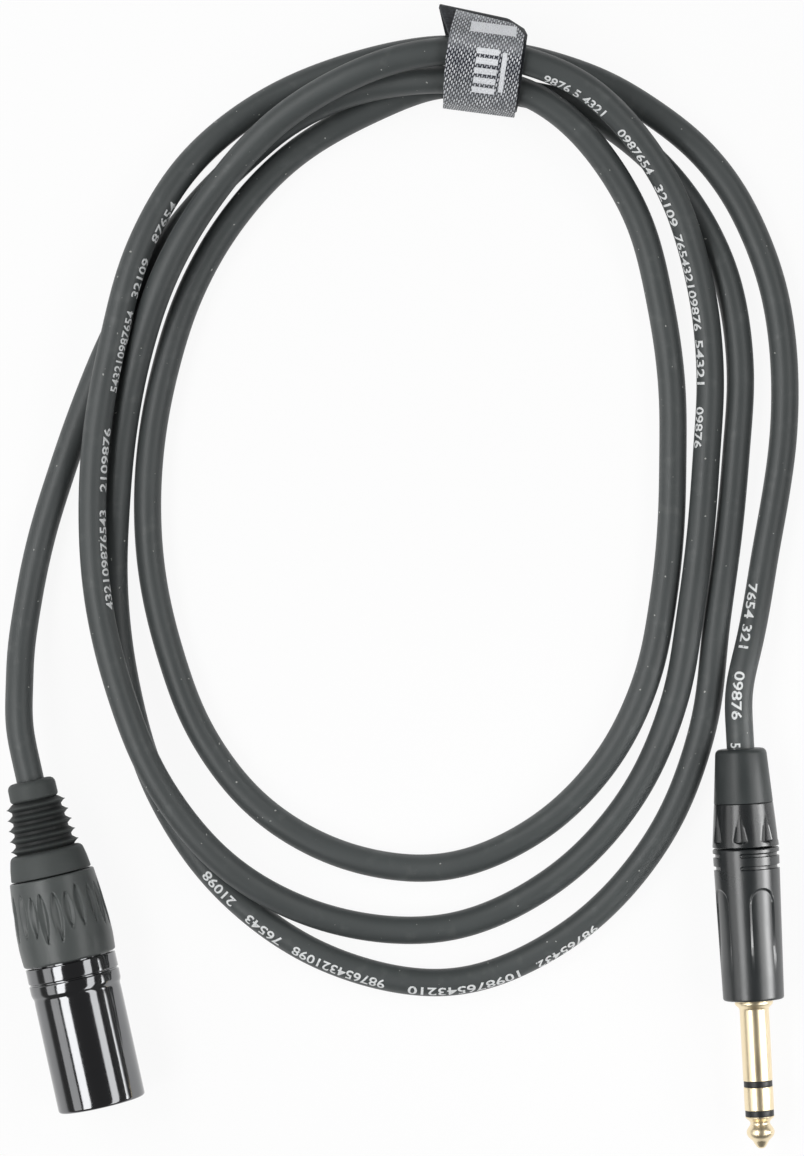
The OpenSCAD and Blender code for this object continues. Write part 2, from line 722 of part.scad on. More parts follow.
strap_across = [sin(strap_tilt), cos(strap_tilt)];
strands = [for (hour = [12, 36, 24, 0]) coil_point(hour)];
strap_at = [for (k = [0, 1]) (strands[0][k] + strands[1][k] + strands[2][k] + strands[3][k]) / 4];

function across(p) = ([p.x, p.y] - strap_at) * strap_across;

// Strands in the strap's section: bottom inner, bottom outer, top outer, top inner
section = [for (p = strands) [across(p), p.z]];
hug_r = cable_r + strap_play;
tab_v = max([for (p = section) p.x]) + cable_r + tab_reach;
tab_z = (section[1].y + section[2].y) / 2;
fold_r = 0.3;

// Round band about circles [x, y, radius], in order against the clock
function leave(a, b) =
    atan2(b.y - a.y, b.x - a.x) - acos((a.z - b.z) / norm([b.x - a.x, b.y - a.y]));

function arc(c, from, to, grow = 0, n = 8) =
    let (turn = to < from ? to + 360 - from : to - from)
    [for (k = [0 : n]) [c.x, c.y] + (c.z + grow) * [cos(from + turn * k / n), sin(from + turn * k / n)]];

function turned(a) = a < 0 ? turned(a + 360) : a >= 360 ? turned(a - 360) : a;

function belt(circles) =
    let (n = len(circles))
    [for (i = [0 : n - 1]) each arc(circles[i], turned(leave(circles[(i + n - 1) % n], circles[i])),
        turned(leave(circles[i], circles[(i + 1) % n])))];

function hug(r) = [for (p = section) [p.x, p.y, r]];

outer_hug = hug(hug_r + strap_t);
tab_end = [tab_v - strap_t, tab_z, strap_t];
tab_root = [tab_v - tab_reach + 1.2, tab_z, fold_r];
// The panel lies over the tab and the top, and ends low on the inner side, where it is hinged
over_tab = turned(leave(tab_end, outer_hug[2]));
over_top = turned(leave(outer_hug[2], outer_hug[3]));
down_side = turned(leave(outer_hug[3], outer_hug[0]));
panel_end_turn = 200;

// Layer over the top of the band, between two heights above it
module panel(low, high) {
    line = function (grow) concat(
        [[tab_end.x, tab_end.y] + (tab_end.z + grow) * [cos(over_tab), sin(over_tab)]],
        arc(outer_hug[2], over_tab, over_top, grow),
        arc(outer_hug[3], over_top, down_side, grow),
        arc(outer_hug[0], down_side, panel_end_turn, grow));
    far = line(high);
    near = line(low);
    polygon(concat(far, [for (i = [len(near) - 1 : -1 : 0]) near[i]]));
}

module on_strap() {
    translate([strap_at.x, strap_at.y, 0]) rotate([0, 0, -strap_tilt]) rotate([90, 0, 90])
        linear_extrude(strap_w, center = true) children();
}

module strap_band() {
    color(band_black) on_strap() difference() {
        polygon(belt([outer_hug[0], outer_hug[1], tab_end, outer_hug[2], outer_hug[3]]));
        polygon(belt([hug(hug_r)[0], hug(hug_r)[1], tab_root, hug(hug_r)[2], hug(hug_r)[3]]));
    }
}

module strap_hook_tape() {
    color(tape_black) on_strap() panel(pile, pile + hook_t);
}

module strap_label() {
    color(woven_grey) on_strap() panel(pile + hook_t, pile + hook_t + label_t);
}

union() {  // cable_coil
    echo(least_air_mm = least_air(halved(concat(xlr_tail_path, coil_path, jack_tail_path),
        strand_points)));
    echo(cable_length_mm = lengths(xlr_tail_path)[len(xlr_tail_path) - 1]
        + lengths(coil_path)[len(coil_path) - 1] + lengths(jack_tail_path)[len(jack_tail_path) - 1]);
}

cable_coil();
cable_tail_xlr();
cable_tail_jack();
cable_end_xlr();
cable_end_jack();
xlr_boot();
xlr_bushing();
xlr_chuck();
xlr_shell();
xlr_insert();
xlr_pin(0);  // xlr_pin_1
xlr_pin(1);  // xlr_pin_2
xlr_pin(2);  // xlr_pin_3
xlr_ground_contact();
xlr_cores();
jack_boot();
jack_bushing();
jack_clamp();
jack_barrel();
jack_liner();
jack_sleeve();
jack_insulator_rear();
jack_ring();
jack_insulator_front();
jack_tip();
jack_cores();
strap_band();
strap_hook_tape();
strap_label();
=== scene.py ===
# %% [markdown]
# # A put-away microphone lead
# The object is a balanced audio lead of about two metres. It lies in three loose turns, with an XLR
# plug on one end and a quarter-inch jack plug on the other, and a hook-and-loop strap round the turns.
# The lead is worked out in millimetres, so that a size can be checked against a ruler, and one factor,
# MM, brings each piece to Blender's metres. The lamps and the paper are placed in metres. The packed
# model is loaded first: it is the frame that every piece follows.

# %% Set up
import random
from math import acos, asin, atan2, ceil, cos, hypot, pi, radians, sin, sqrt, tau
import bmesh
import bpy
from mathutils import Matrix, Vector


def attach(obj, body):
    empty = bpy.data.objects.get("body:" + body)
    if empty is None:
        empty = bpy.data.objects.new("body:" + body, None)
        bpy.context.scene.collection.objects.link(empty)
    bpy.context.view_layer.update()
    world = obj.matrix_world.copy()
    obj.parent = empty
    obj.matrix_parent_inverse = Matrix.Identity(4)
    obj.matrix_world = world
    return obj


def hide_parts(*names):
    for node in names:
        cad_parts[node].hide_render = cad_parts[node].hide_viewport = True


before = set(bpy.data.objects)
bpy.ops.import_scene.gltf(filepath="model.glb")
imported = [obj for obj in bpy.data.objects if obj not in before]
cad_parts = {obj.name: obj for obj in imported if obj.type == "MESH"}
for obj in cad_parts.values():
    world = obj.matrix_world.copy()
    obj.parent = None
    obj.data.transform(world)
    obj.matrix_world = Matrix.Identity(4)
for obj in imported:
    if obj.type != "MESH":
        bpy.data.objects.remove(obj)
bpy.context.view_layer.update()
MM = 0.001
chance = random.Random(7)
scene = bpy.context.scene

# %% [markdown]
# ## Camera
# A lead like this is shown flat from straight above, as on a copy stand. A long lens a metre away keeps
# the plugs from leaning, so a camera that looks down its own -Z axis needs no turn at all.

# %% Camera
lens_data = bpy.data.cameras.new("copy_stand_camera")
lens_data.sensor_width = 36
lens_data.lens = 142.8
camera = bpy.data.objects.new("copy_stand_camera", lens_data)
middle_of_lead, camera_height = 1.7 * MM, 1.0
camera.location = (middle_of_lead, 0, camera_height)
scene.collection.objects.link(camera)
scene.camera = camera
scene.view_settings.view_transform = "Standard"
print("camera", round(camera.location.z, 3), "m above the floor")

# %% [markdown]
# ## Lamps
# Black plastic and polished metal show little of their own colour: what one sees is the lamps in them.
# Long strip lamps, a bright one and a dim one on the left and a weaker one on the right, draw the
# lengthwise stripes of a plug. Together they light a white card to just under white. A small shaded lamp
# beside the jack plug opens up its dark side. Area lamps serve here, because a point lamp would leave
# only a spark on a polished plug.

# %% Lamps
def strip_lamp(name, turn, distance, width, power, length=2.2, aim=(0, 0, 0), beam=180):
    """Lamp that lies along y, leans from the vertical by the turn, and points at aim. Its sizes are in
    metres, its power is in watts, and its turn and beam are in degrees."""
    light = bpy.data.lights.new(name, "AREA")
    light.shape = "RECTANGLE"
    light.size, light.size_y, light.energy, light.spread = width, length, power, radians(beam)
    lamp = bpy.data.objects.new(name, light)
    lamp.matrix_world = (Matrix.Translation(aim) @ Matrix.Rotation(radians(turn), 4, "Y")
                         @ Matrix.Translation((0, 0, distance)))
    lamp.visible_camera = False
    scene.collection.objects.link(lamp)

strip_lamp("key_strip", -34, 1.5, 0.55, 17)
strip_lamp("side_strip", -62, 1.5, 0.6, 5)
strip_lamp("fill_strip", 42, 1.5, 0.5, 9.5)
strip_lamp("jack_strip", 65, 0.09, 0.055, 0.012, length=0.12, aim=(0.077, -0.075, 0.007), beam=40)
scene.world = bpy.data.worlds.new("dim_room")
scene.world.use_nodes = True
scene.world.node_tree.nodes["Background"].inputs["Color"].default_value = (0.09, 0.09, 0.092, 1)

# %% [markdown]
# ## Writing finishes as sums
# A finish is a net of shader nodes. Built by hand it is long and hard to read, so one class wraps a
# socket and turns `1 - mask` or `grain * 0.2` into Math nodes. The other class holds a material and has
# one method that adds any other node. What varies over a surface goes only into colour, roughness and
# relief. A number that is the same all over is set on the shader's own socket.

# %% Shader sums
def maths(operation):
    """Makes a method that adds a Math node and feeds it the value and any others."""
    def method(value, *others):
        return value.finish.add("Math", {"operation": operation}, dict(enumerate((value, *others))))
    return method


class Value:
    """An output socket of a finish's net, which can be added, multiplied and compared like a number."""
    __add__ = __radd__ = maths("ADD")
    __mul__ = __rmul__ = maths("MULTIPLY")
    __sub__ = maths("SUBTRACT")
    __truediv__ = maths("DIVIDE")
    __gt__ = maths("GREATER_THAN")
    __lt__ = maths("LESS_THAN")
    least = maths("MINIMUM")
    part = maths("FRACT")

    def __init__(self, finish, socket):
        self.finish, self.socket = finish, socket

    def __rsub__(self, other):
        return self.finish.add("Math", {"operation": "SUBTRACT"}, {0: other, 1: self})

    def ramp(self, low, high):
        """Eases from 0 at the low number to 1 at the high one."""
        return self.finish.add("MapRange", {"interpolation_type": "SMOOTHSTEP"},
                               {"Value": self, "From Min": low, "From Max": high})


class Finish:
    """A material. The sockets given with its name are the same all over."""

    def __init__(self, name, **sockets):
        self.material = bpy.data.materials.new(name)
        self.material.use_nodes = True
        self.net = self.material.node_tree
        self.shader = self.net.nodes["Principled BSDF"]
        for socket, value in sockets.items():
            self.feed(socket.replace("_", " "), value)
        print("finish", name)

    def put(self, socket, value):
        if isinstance(value, Value):
            self.net.links.new(value.socket, socket)
        elif isinstance(value, tuple):
            socket.default_value = value + (1,) * (len(socket.default_value) - len(value))
        else:
            socket.default_value = value

    def feed(self, socket, value):
        self.put(self.shader.inputs[socket], value)

    def add(self, kind, settings=None, inputs=None, out=0):
        """Any node: its type, its settings, the values or links of its sockets, and the output wanted."""
        node = self.net.nodes.new("ShaderNode" + kind)
        for setting, value in (settings or {}).items():
            if setting == "stops":
                for _ in range(len(value) - 2):
                    node.color_ramp.elements.new(0.5)
                for stop, (place, color) in zip(node.color_ramp.elements, value):
                    stop.position, stop.color = place, color + (1,)
            else:
                setattr(node, setting, value)
        for socket, value in (inputs or {}).items():
            self.put(node.inputs[socket], value)
        return Value(self, node.outputs[out])

    def mix(self, mask, low, high):
        return self.add("Mix", {"data_type": "RGBA"}, {0: mask, 6: low, 7: high}, out=2)

    def place(self):
        return self.add("TexCoord", out="Object")

    def axis(self, vector, number):
        """One number of a vector, where 0, 1 and 2 stand for x, y and z."""
        return self.add("SeparateXYZ", None, {0: vector}, out=number)

    def noise(self, per_metre, detail=3.0, stretch=None):
        """Clouds or grain, so many to the metre."""
        where = self.place()
        if stretch:
            where = self.add("Mapping", None, {"Vector": where, "Scale": stretch})
        return self.add("TexNoise", None, {"Vector": where, "Scale": per_metre, "Detail": detail})

    def relief(self, height, depth, under=None):
        """Bumps of a depth in millimetres, on top of those of the normal under them."""
        inputs = {"Height": height, "Distance": depth * MM, "Strength": 1.0}
        if under:
            inputs["Normal"] = under
        return self.add("Bump", None, inputs)


def tone(red, green, blue):
    """Linear colour of an 8-bit one."""
    return tuple(c / 12.92 if c < 0.04045 else ((c + 0.055) / 1.055) ** 2.4
                 for c in (red / 255, green / 255, blue / 255))

# %% [markdown]
# ## Paper floor
# The lead lies on white paper that curves up far away, so that a low view ends in the same paper. A ray
# from the eye or from a mirror finds it nearly white, while the part that stays a plain diffuse surface
# keeps the lead's shadow. A mirror sees white only near the lead and a dim room beyond, as round a small
# table, because that dark horizon is what makes a plated plug look like metal.

# %% Paper floor
paper = Finish("paper", Roughness=0.9)
paper.feed("Base Color", paper.mix(paper.noise(30), (0.86, 0.86, 0.86), (0.88, 0.88, 0.88)))
seen = paper.add("LightPath", out="Is Camera Ray")
mirrored = paper.add("LightPath", out="Is Glossy Ray") + paper.add("LightPath", out="Is Transmission Ray")
far = paper.add("VectorMath", {"operation": "LENGTH"}, {0: paper.place()}, out="Value").ramp(0.15, 0.32)
shown = paper.mix(mirrored * far, (1.0, 1.0, 1.0), (0.12, 0.12, 0.12))
glow = paper.add("Emission", None, {"Color": shown, "Strength": 1.0})
surface, glow_share = Value(paper, paper.shader.outputs[0]), 0.92
both = paper.add("MixShader", None, {0: (seen + mirrored) * glow_share, 1: surface, 2: glow})
paper.net.links.new(both.socket, paper.net.nodes["Material Output"].inputs["Surface"])

# metres: half the floor's side, how far out it stays flat, and how far it lies below the lead
floor_half, flat_to, below_lead = 6, 3, 0.0001
curl = 0.35
bm = bmesh.new()
bmesh.ops.create_grid(bm, x_segments=60, y_segments=60, size=floor_half)
for vert in bm.verts:
    vert.co.z = curl * max(0, vert.co.xy.length - flat_to) ** 2 - below_lead
for face in bm.faces:
    face.smooth = True
floor_mesh = bpy.data.meshes.new("paper_floor")
bm.to_mesh(floor_mesh)
bm.free()
floor_mesh.materials.append(paper.material)
paper_floor = bpy.data.objects.new("paper_floor", floor_mesh)
scene.collection.objects.link(paper_floor)
print("floor", len(floor_mesh.polygons), "faces")

# %% [markdown]
# ## Making a piece
# Every finished piece goes the same way: its bmesh becomes an object at the origin, it is shaded smooth
# up to an angle, and it is told which body of the frame it moves with and which rigid stand-in it takes
# the place of. Most pieces of a plug come off a lathe, so the second helper spins an outline of
# (radius, station, rounding) about the plug's axis. Stations are counted along the plug in millimetres.

# %% Bench tools
def piece(name, bm, finish, body, *stands_for, slot=None, sharp=35):
    """Makes a bmesh a finished object. Edges that turn by more than sharp degrees stay crisp."""
    for face in bm.faces:
        face.smooth = True
    mesh = bpy.data.meshes.new(name)
    bm.to_mesh(mesh)
    bm.free()
    mesh.set_sharp_from_angle(angle=radians(sharp))
    mesh.materials.append(finish.material)
    made = bpy.data.objects.new(name, mesh)
    scene.collection.objects.link(made)
    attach(made, body)
    if stands_for:
        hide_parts(*stands_for)
    print("piece", name, len(mesh.polygons), "faces")
    return made


def lathe(outline, steps=96, fine=None):
    """Spins an outline into a closed skin. No edge along it is longer than fine, where that is given."""
    bm = bmesh.new()
    corners = [bm.verts.new((point[0], 0, point[1])) for point in outline]
    on_axis = outline[0][0] == 0
    for one, other in zip(corners, corners[1:] if on_axis else corners[1:] + corners[:1]):
        bm.edges.new((one, other))
    for corner, point in zip(corners, outline):
        if len(point) > 2:
            bmesh.ops.bevel(bm, geom=[corner], offset=point[2], offset_type="OFFSET", segments=4,
                            profile=0.5, affect="VERTICES", material=-1)
    if fine:
        for edge in bm.edges[:]:
            cuts = ceil(edge.calc_length() / fine) - 1
            if cuts > 0:
                bmesh.ops.subdivide_edges(bm, edges=[edge], cuts=cuts)
    bmesh.ops.spin(bm, geom=bm.verts[:] + bm.edges[:], cent=(0, 0, 0), axis=(0, 0, 1), dvec=(0, 0, 0),
                   angle=tau, steps=steps, use_merge=True, use_duplicate=False)
    bmesh.ops.remove_doubles(bm, verts=bm.verts[:], dist=1e-4)
    bmesh.ops.recalc_face_normals(bm, faces=bm.faces[:])
    return bm


def plug_place(x, y, z, turn):
    """Brings a plug's millimetres (right, up, along the nose) to its place in the frame."""
    return (Matrix.Translation(Vector((x, y, z)) * MM) @ Matrix.Rotation(radians(turn), 4, "Z")
            @ Matrix.Rotation(radians(90), 4, "X") @ Matrix.Scale(MM, 4))

xlr_place = plug_place(-78.5, -43.7, 10.3, 12.5)
jack_place = plug_place(75, -36.9, 7.2, 3)

def set_in(bm, place):
    bmesh.ops.transform(bm, matrix=place, verts=bm.verts[:])
    return bm

def limited(share):
    """The share, kept between 0 and 1."""
    return min(1, max(0, share))

# %% [markdown]
# ## The cable's line
# The lead is one cable of 6 mm, and its line decides the whole look. Three wavy turns are given by a
# radius for each hour of a clock face about the coil's middle, which reads 0 at the strap and counts
# on to 36. Heights are given in strands, where 1 is a strand that lies on another. Both tails are lists
# of places. One smooth curve goes through all of it, is cut into even steps and then eased, as a stiff
# cable eases its own bends.

# %% Turns
# a strand's radius, the rise from strand to strand, and how much of it the strap's band takes up
cable_r, layer, on_band = 3.0, 6.5, 0.2
coil_x, coil_y, strap_hour_bearing = 4, 21, 80
turn_count, hours_in_turn = 3, 12
# radii at hours -1.5, -0.5, 0.5 and so on
first_hour = -1.5
radii = [76.5, 86.2,
         84.2, 66, 56.8, 60.2, 73.9, 84.2, 78.4, 64.5, 57.9, 59.2, 69, 82,
         89, 82.2, 70.6, 72.9, 94, 109.3, 97.2, 76.2, 64.6, 65.6, 75.6, 89.4,
         92, 75.9, 64, 66.6, 83.5, 97.3, 92.9, 77.6, 69.5, 71.4, 84.2, 92,
         95.4, 91.6]
# (hour, rise) wherever the strand starts or ends a climb over the others
rises = [(0, 1.03 + on_band), (0.2, 1.03 + on_band), (1.5, 0), (11.2, 0), (12, on_band), (12.8, 0),
         (20, 0), (20.7, 0.28), (21.1, 0.28), (22.2, 1.02), (22.5, 1.02), (23.5, 2), (24, 1.8 + on_band),
         (26, 0.31), (27.5, 0.31), (28.2, 0), (29.6, 0), (30.9, 1.02), (33.8, 1.02), (35, 0),
         (36, on_band)]

def turn_place(hour):
    """Place of the strand at an hour: a smooth curve through the radii, and an eased climb."""
    bearing, at = radians(strap_hour_bearing - 360 / hours_in_turn * hour), hour - first_hour
    i = int(at)
    a, b, c, d = (radii[min(max(i + k, 0), len(radii) - 1)] for k in (-1, 0, 1, 2))
    t = at - i
    r = 0.5 * (2 * b + (c - a) * t + (2 * a - 5 * b + 4 * c - d) * t * t + (3 * b - a - 3 * c + d) * t ** 3)
    k = max(n for n in range(len(rises) - 1) if rises[n][0] <= hour)
    (h0, low), (h1, high) = rises[k], rises[k + 1]
    f = min(1, (hour - h0) / (h1 - h0))
    rise = low + (high - low) * f * f * (3 - 2 * f)
    return Vector((coil_x + r * cos(bearing), coil_y + r * sin(bearing), cable_r + layer * rise))

# under the strap the strands run straight, from rim to rim
strap_tilt = radians(7.5)
strap_way = Vector((cos(strap_tilt), -sin(strap_tilt), 0))
strap_half = 8
to_rim = strap_half * strap_way
turns = [turn_place(0), turn_place(0) + to_rim]
for half_hour in range(1, 2 * hours_in_turn * turn_count):
    here = turn_place(half_hour / 2)
    at_strap = half_hour % (2 * hours_in_turn) == 0
    turns += [here - to_rim, here + to_rim] if at_strap else [here]
last = turn_place(hours_in_turn * turn_count)
turns += [last - to_rim, last]
print("turns go through", len(turns), "places")

# %% Tails
def at_rise(x, y, rise):
    return Vector((x, y, cable_r + layer * rise))

xlr_tail = [at_rise(*p) for p in (
    (-81, -24, 0.85), (-81, -16, 0.46), (-80, -8, 0.12), (-78.5, 1, 0), (-76, 11.5, 0), (-73, 21, 0),
    (-70, 30, 0), (-66.5, 39.5, 0), (-61.5, 51.5, 0), (-54.5, 64.5, 0), (-48, 74.5, 0), (-40, 84, 0),
    (-32.4, 91.3, 0.05), (-24, 98.2, 0.42), (-14, 103.4, 0.7), (-3.5, 106.4, 0.96))]
jack_tail = [at_rise(*p) for p in (
    (36, 111, 0.06), (46.3, 107.2, 0), (56.5, 101, 0), (65.5, 94, 0), (73, 85, 0), (78.5, 74.5, 0),
    (82.5, 63, 0), (84.5, 51, 0), (85, 40, 0), (84.5, 29, 0), (82.7, 16.5, 0), (80.6, 5, 0),
    (79, -5, 0.03), (77, -14.5, 0.37))]
print("tails go through", len(xlr_tail), "and", len(jack_tail), "places")

# %% The whole line
def along(place, station):
    """Place, in millimetres, on a plug's axis."""
    return place @ Vector((0, 0, station)) / MM

places = ([along(xlr_place, s) for s in (35, 29, 20, 10, 0, -6, -12)] + xlr_tail
          + [turns[0] - to_rim] + turns + [turns[-1] + to_rim] + jack_tail
          + [along(jack_place, s) for s in (-12, -6, 0, 10, 20, 26.7)])

def between(u, low, a, high, b):
    """Place at u on the straight line that passes a at low and b at high."""
    return ((high - u) * a + (u - low) * b) / (high - low)

def eased_line(places, step, passes):
    """A centripetal curve through the places, cut into even steps, with its bends eased."""
    ends = [2 * places[0] - places[1]] + places + [2 * places[-1] - places[-2]]
    dense, cuts = [], 16
    for p in zip(ends, ends[1:], ends[2:], ends[3:]):
        knot = [0]
        for a, b in zip(p, p[1:]):
            knot.append(knot[-1] + (b - a).length ** 0.5)
        for k in range(cuts):
            u = knot[1] + (knot[2] - knot[1]) * k / cuts
            first = [between(u, knot[i], p[i], knot[i + 1], p[i + 1]) for i in range(3)]
            second = [between(u, knot[i], first[i], knot[i + 2], first[i + 1]) for i in range(2)]
            dense.append(between(u, knot[1], second[0], knot[2], second[1]))
    dense.append(places[-1])
    line, left = [dense[0]], step
    for a, b in zip(dense, dense[1:]):
        gap = (b - a).length
        while gap >= left > 0:
            a = a + (b - a) * (left / gap)
            line.append(a)
            gap, left = (b - a).length, step
        left -= gap
    line.append(dense[-1])
    for _ in range(passes):
        line[1:-1] = [(a + 2 * b + c) / 4 for a, b, c in zip(line, line[1:], line[2:])]
    return line

line_step = 1.5
cable_line = eased_line(places, line_step, passes=12)
cable_length = sum((b - a).length for a, b in zip(cable_line, cable_line[1:]))
print("cable", round(cable_length, 1), "mm long,", len(cable_line), "places")

# %% [markdown]
# ## Jacket
# The jacket is moulded PVC: a matte charcoal skin with a fine grain, a few rubbed places and pale
# specks of dust. The tube could be swept ring by ring, but Blender's own curve bevel does just that, so
# the line becomes a poly curve, gets a round bevel, and is made a mesh.

# %% Jacket finish
jacket = Finish("charcoal_jacket")
broad, grain, dust = jacket.noise(60, detail=2.0), jacket.noise(2600), jacket.noise(1300, detail=0.0)
worn = jacket.noise(240, detail=4.0, stretch=(1, 1, 0.6)).ramp(0.55, 0.75)
skin = jacket.mix(broad, tone(64, 68, 68), tone(78, 82, 82))
skin = jacket.mix(worn * 0.25, skin, tone(104, 108, 107))
skin = jacket.mix(dust.ramp(0.85, 0.87), skin, tone(170, 172, 168))
jacket.feed("Base Color", skin)
jacket.feed("Roughness", 0.4 + broad * 0.14 - worn * 0.05)
jacket.feed("Normal", jacket.relief(grain, 0.012, jacket.relief(jacket.noise(160), 0.05)))

# %% Cable
line_curve = bpy.data.curves.new("cable_line", "CURVE")
line_curve.dimensions = "3D"
spline = line_curve.splines.new("POLY")
spline.points.add(len(cable_line) - 1)
for point, place in zip(spline.points, cable_line):
    point.co = (*(place * MM), 1)
line_curve.bevel_depth = cable_r * MM
line_curve.bevel_resolution = 10
line_curve.use_fill_caps = True
rough = bpy.data.objects.new("cable_rough", line_curve)
bm = bmesh.new()
bm.from_mesh(rough.to_mesh())
bpy.data.objects.remove(rough)
bmesh.ops.remove_doubles(bm, verts=bm.verts[:], dist=1e-6)
cable = piece("jacketed_cable", bm, jacket, "lead", "cable_coil", "cable_tail_xlr", "cable_tail_jack",
              "cable_end_xlr", "cable_end_jack", slot="jacket", sharp=60)

# %% [markdown]
# ## Length marks on the jacket
# A cable like this has a line of white print that twists slowly round it. Here it is plain running
# digits. A flat text is made a mesh, cut into narrow strips, and then every point of it is laid on
# the jacket by its distance along the cable and its turn round it, a hair above the skin.

# %% Laying things on the jacket
def on_jacket(distance, turn, lift):
    """Place at a distance along the cable and a turn round it from its top, lifted off the skin."""
    at = min(max(distance / line_step, 1), len(cable_line) - 3)
    i = int(at)
    here = cable_line[i].lerp(cable_line[i + 1], at - i)
    way_here, way_next = cable_line[i + 1] - cable_line[i - 1], cable_line[i + 2] - cable_line[i]
    way = way_here.lerp(way_next, at - i).normalized()
    left = Vector((0, 0, 1)).cross(way).normalized()
    return here + (cable_r + lift) * (cos(turn) * way.cross(left) + sin(turn) * left)

# %% Ink and rows of digits
print_white = Finish("print_white", Roughness=0.62)
print_white.feed("Base Color", print_white.mix(print_white.noise(1500).ramp(0.6, 0.72),
                                               tone(228, 230, 230), tone(120, 124, 124)))

# (from, to) along the cable, the digits, and how far left of its top the row begins and ends
digit_rows = [
    (1251, 1267, "9876 5 4321", -2.5, -2.2), (1272, 1284, "0987654", -2.2, -2.2),
    (1287, 1297, "32109", -2.3, -2.3), (1299, 1321, "765432109876", -2.35, -2.3),
    (1323, 1333, "54321", -2.3, -2.3), (1338, 1347, "09876", -2.3, -2.3),
    (1590, 1612, "432109876543", -2.5, -2.5), (1616, 1630, "2109876", -2.5, -2.5),
    (1638, 1656, "543210987654", -2.5, -2.5), (1659, 1668, "32109", -2.5, -2.5),
    (1672, 1682, "87654", -2.5, -2.5), (918, 933, "98765432", 2.3, 2.3),
    (937, 961, "109876543210", 2.1, 1.8), (966, 987, "987654321098", 1.5, 1.5),
    (990, 999, "76543", 1.6, 1.5), (1003, 1012, "21098", 1.2, 1.0),
    (1915, 1930, "7654 321", -1.8, -1.3), (1935, 1945, "09876", -0.7, -0.7),
    (1950, 1952.5, "54", -1.3, -1.3)]
print("ink for", len(digit_rows), "rows")

# %% Length marks
digit_height, ink_lift, strips = 2.35, 0.03, 10
marks = bmesh.new()

def print_row(start, stop, digits, left_from, left_to):
    """Adds one row of digits to the marks, laid on the jacket between two distances."""
    text = bpy.data.curves.new("digits", "FONT")
    text.body, text.size, text.resolution_u, text.offset = digits, 3.0, 3, 0.05
    flat = bpy.data.objects.new("digits", text)
    scene.collection.objects.link(flat)
    bm = bmesh.new()
    bm.from_mesh(flat.to_mesh())
    bpy.data.objects.remove(flat)
    xs, ys = [v.co.x for v in bm.verts], [v.co.y for v in bm.verts]
    for k in range(1, strips):
        across = min(ys) + (max(ys) - min(ys)) * k / strips
        bmesh.ops.bisect_plane(bm, geom=bm.verts[:] + bm.edges[:] + bm.faces[:], plane_co=(0, across, 0),
                               plane_no=(0, 1, 0))
    for vert in bm.verts:
        f = (vert.co.x - min(xs)) / (max(xs) - min(xs))
        middle = asin((left_from + (left_to - left_from) * f) / cable_r)
        rise = ((vert.co.y - min(ys)) / (max(ys) - min(ys)) - 0.5) * digit_height
        vert.co = on_jacket(start + (stop - start) * f, middle + rise / cable_r, ink_lift) * MM
    row_mesh = bpy.data.meshes.new("row")
    bm.to_mesh(row_mesh)
    bm.free()
    marks.from_mesh(row_mesh)
    bpy.data.meshes.remove(row_mesh)

for row in digit_rows:
    print_row(*row)
length_marks = piece("length_marks", marks, print_white, "lead")

# %% [markdown]
# ## XLR plug, soft boot
# The boot is soft black rubber that keeps the cable from kinking: a smooth cap, five thin fins that let
# it bend, and a collar that meets the grip. All of it is round, so it is one turned outline. The valleys
# between the fins get painted shade. A map of station and radius tells the rubber how far a point lies
# below the rims, and the deeper it lies the blacker it is painted. The jack's boot, on the right of the
# frame, is moulded smoother than this one, so it is darker and takes the lamps' stripes.

# %% Rubber
# the first fin's rim, how much the rims widen per millimetre, and the first rim's station
rim_r, rim_slope, rim_at = 6.5, 0.11, 5.3
fins_start, fins_stop = 4.2, 15.3
boot_rubber = Finish("boot_rubber", Specular_IOR_Level=0.4)
rubbed = boot_rubber.noise(180, detail=5.0)
turned_at = boot_rubber.add("UVMap", {"uv_map": "turned"})
station, radius = boot_rubber.axis(turned_at, 0), boot_rubber.axis(turned_at, 1)
below_rims = rim_r + (station - rim_at) * rim_slope - radius
# painted shade: the fin valleys get darker the deeper they lie below the rims
painted_valley_shade = below_rims.ramp(0.25, 1.0) * (station > fins_start) * (station < fins_stop)
smooth_boot = boot_rubber.axis(boot_rubber.place(), 0) > 0
rubber = boot_rubber.mix(smooth_boot, boot_rubber.mix(rubbed, tone(62, 66, 65), tone(80, 84, 83)),
                         boot_rubber.mix(rubbed, tone(46, 50, 50), tone(61, 65, 65)))
# the painted valley shade darkens the rubber towards tone(20, 22, 22)
boot_rubber.feed("Base Color", boot_rubber.mix(painted_valley_shade * 0.85, rubber, tone(20, 22, 22)))
boot_rubber.feed("Roughness", 0.54 + rubbed * 0.14 - smooth_boot * 0.22)
boot_rubber.feed("Normal", boot_rubber.relief(boot_rubber.noise(2400), 0.015))

# %% XLR boot
cable_hole = 3.05
fin_count, first_fin, fin_gap, fin_widens, root_r = 5, 4.1, 2.25, 0.25, 5.2
outline = [(cable_hole, 0, 0.3), (5.2, 0, 1.3), (5.25, 3.9, 0.35), (4.75, fins_start)]
for fin in range(fin_count):
    s, rim, root = first_fin + fin_gap * fin, rim_r + fin_widens * fin, root_r + fin_widens * fin
    outline += [(root, s + 0.35, 0.1), (rim - 0.5, s + 1.0), (rim, s + 1.2, 0.1), (rim - 0.45, s + 1.42),
                (root + 0.2, s + 2.0, 0.1)]
outline += [(6.3, fins_stop, 0.1), (7.85, 15.45, 0.9), (8.45, 18.2), (8.75, 20.4), (8.72, 20.7, 0.12),
            (6.0, 20.72), (6.0, 23.9, 0.3), (cable_hole, 23.9)]
bm = lathe(outline)
turned_map = bm.loops.layers.uv.new("turned")
for face in bm.faces:
    for loop in face.loops:
        loop[turned_map].uv = (loop.vert.co.z, loop.vert.co.xy.length)
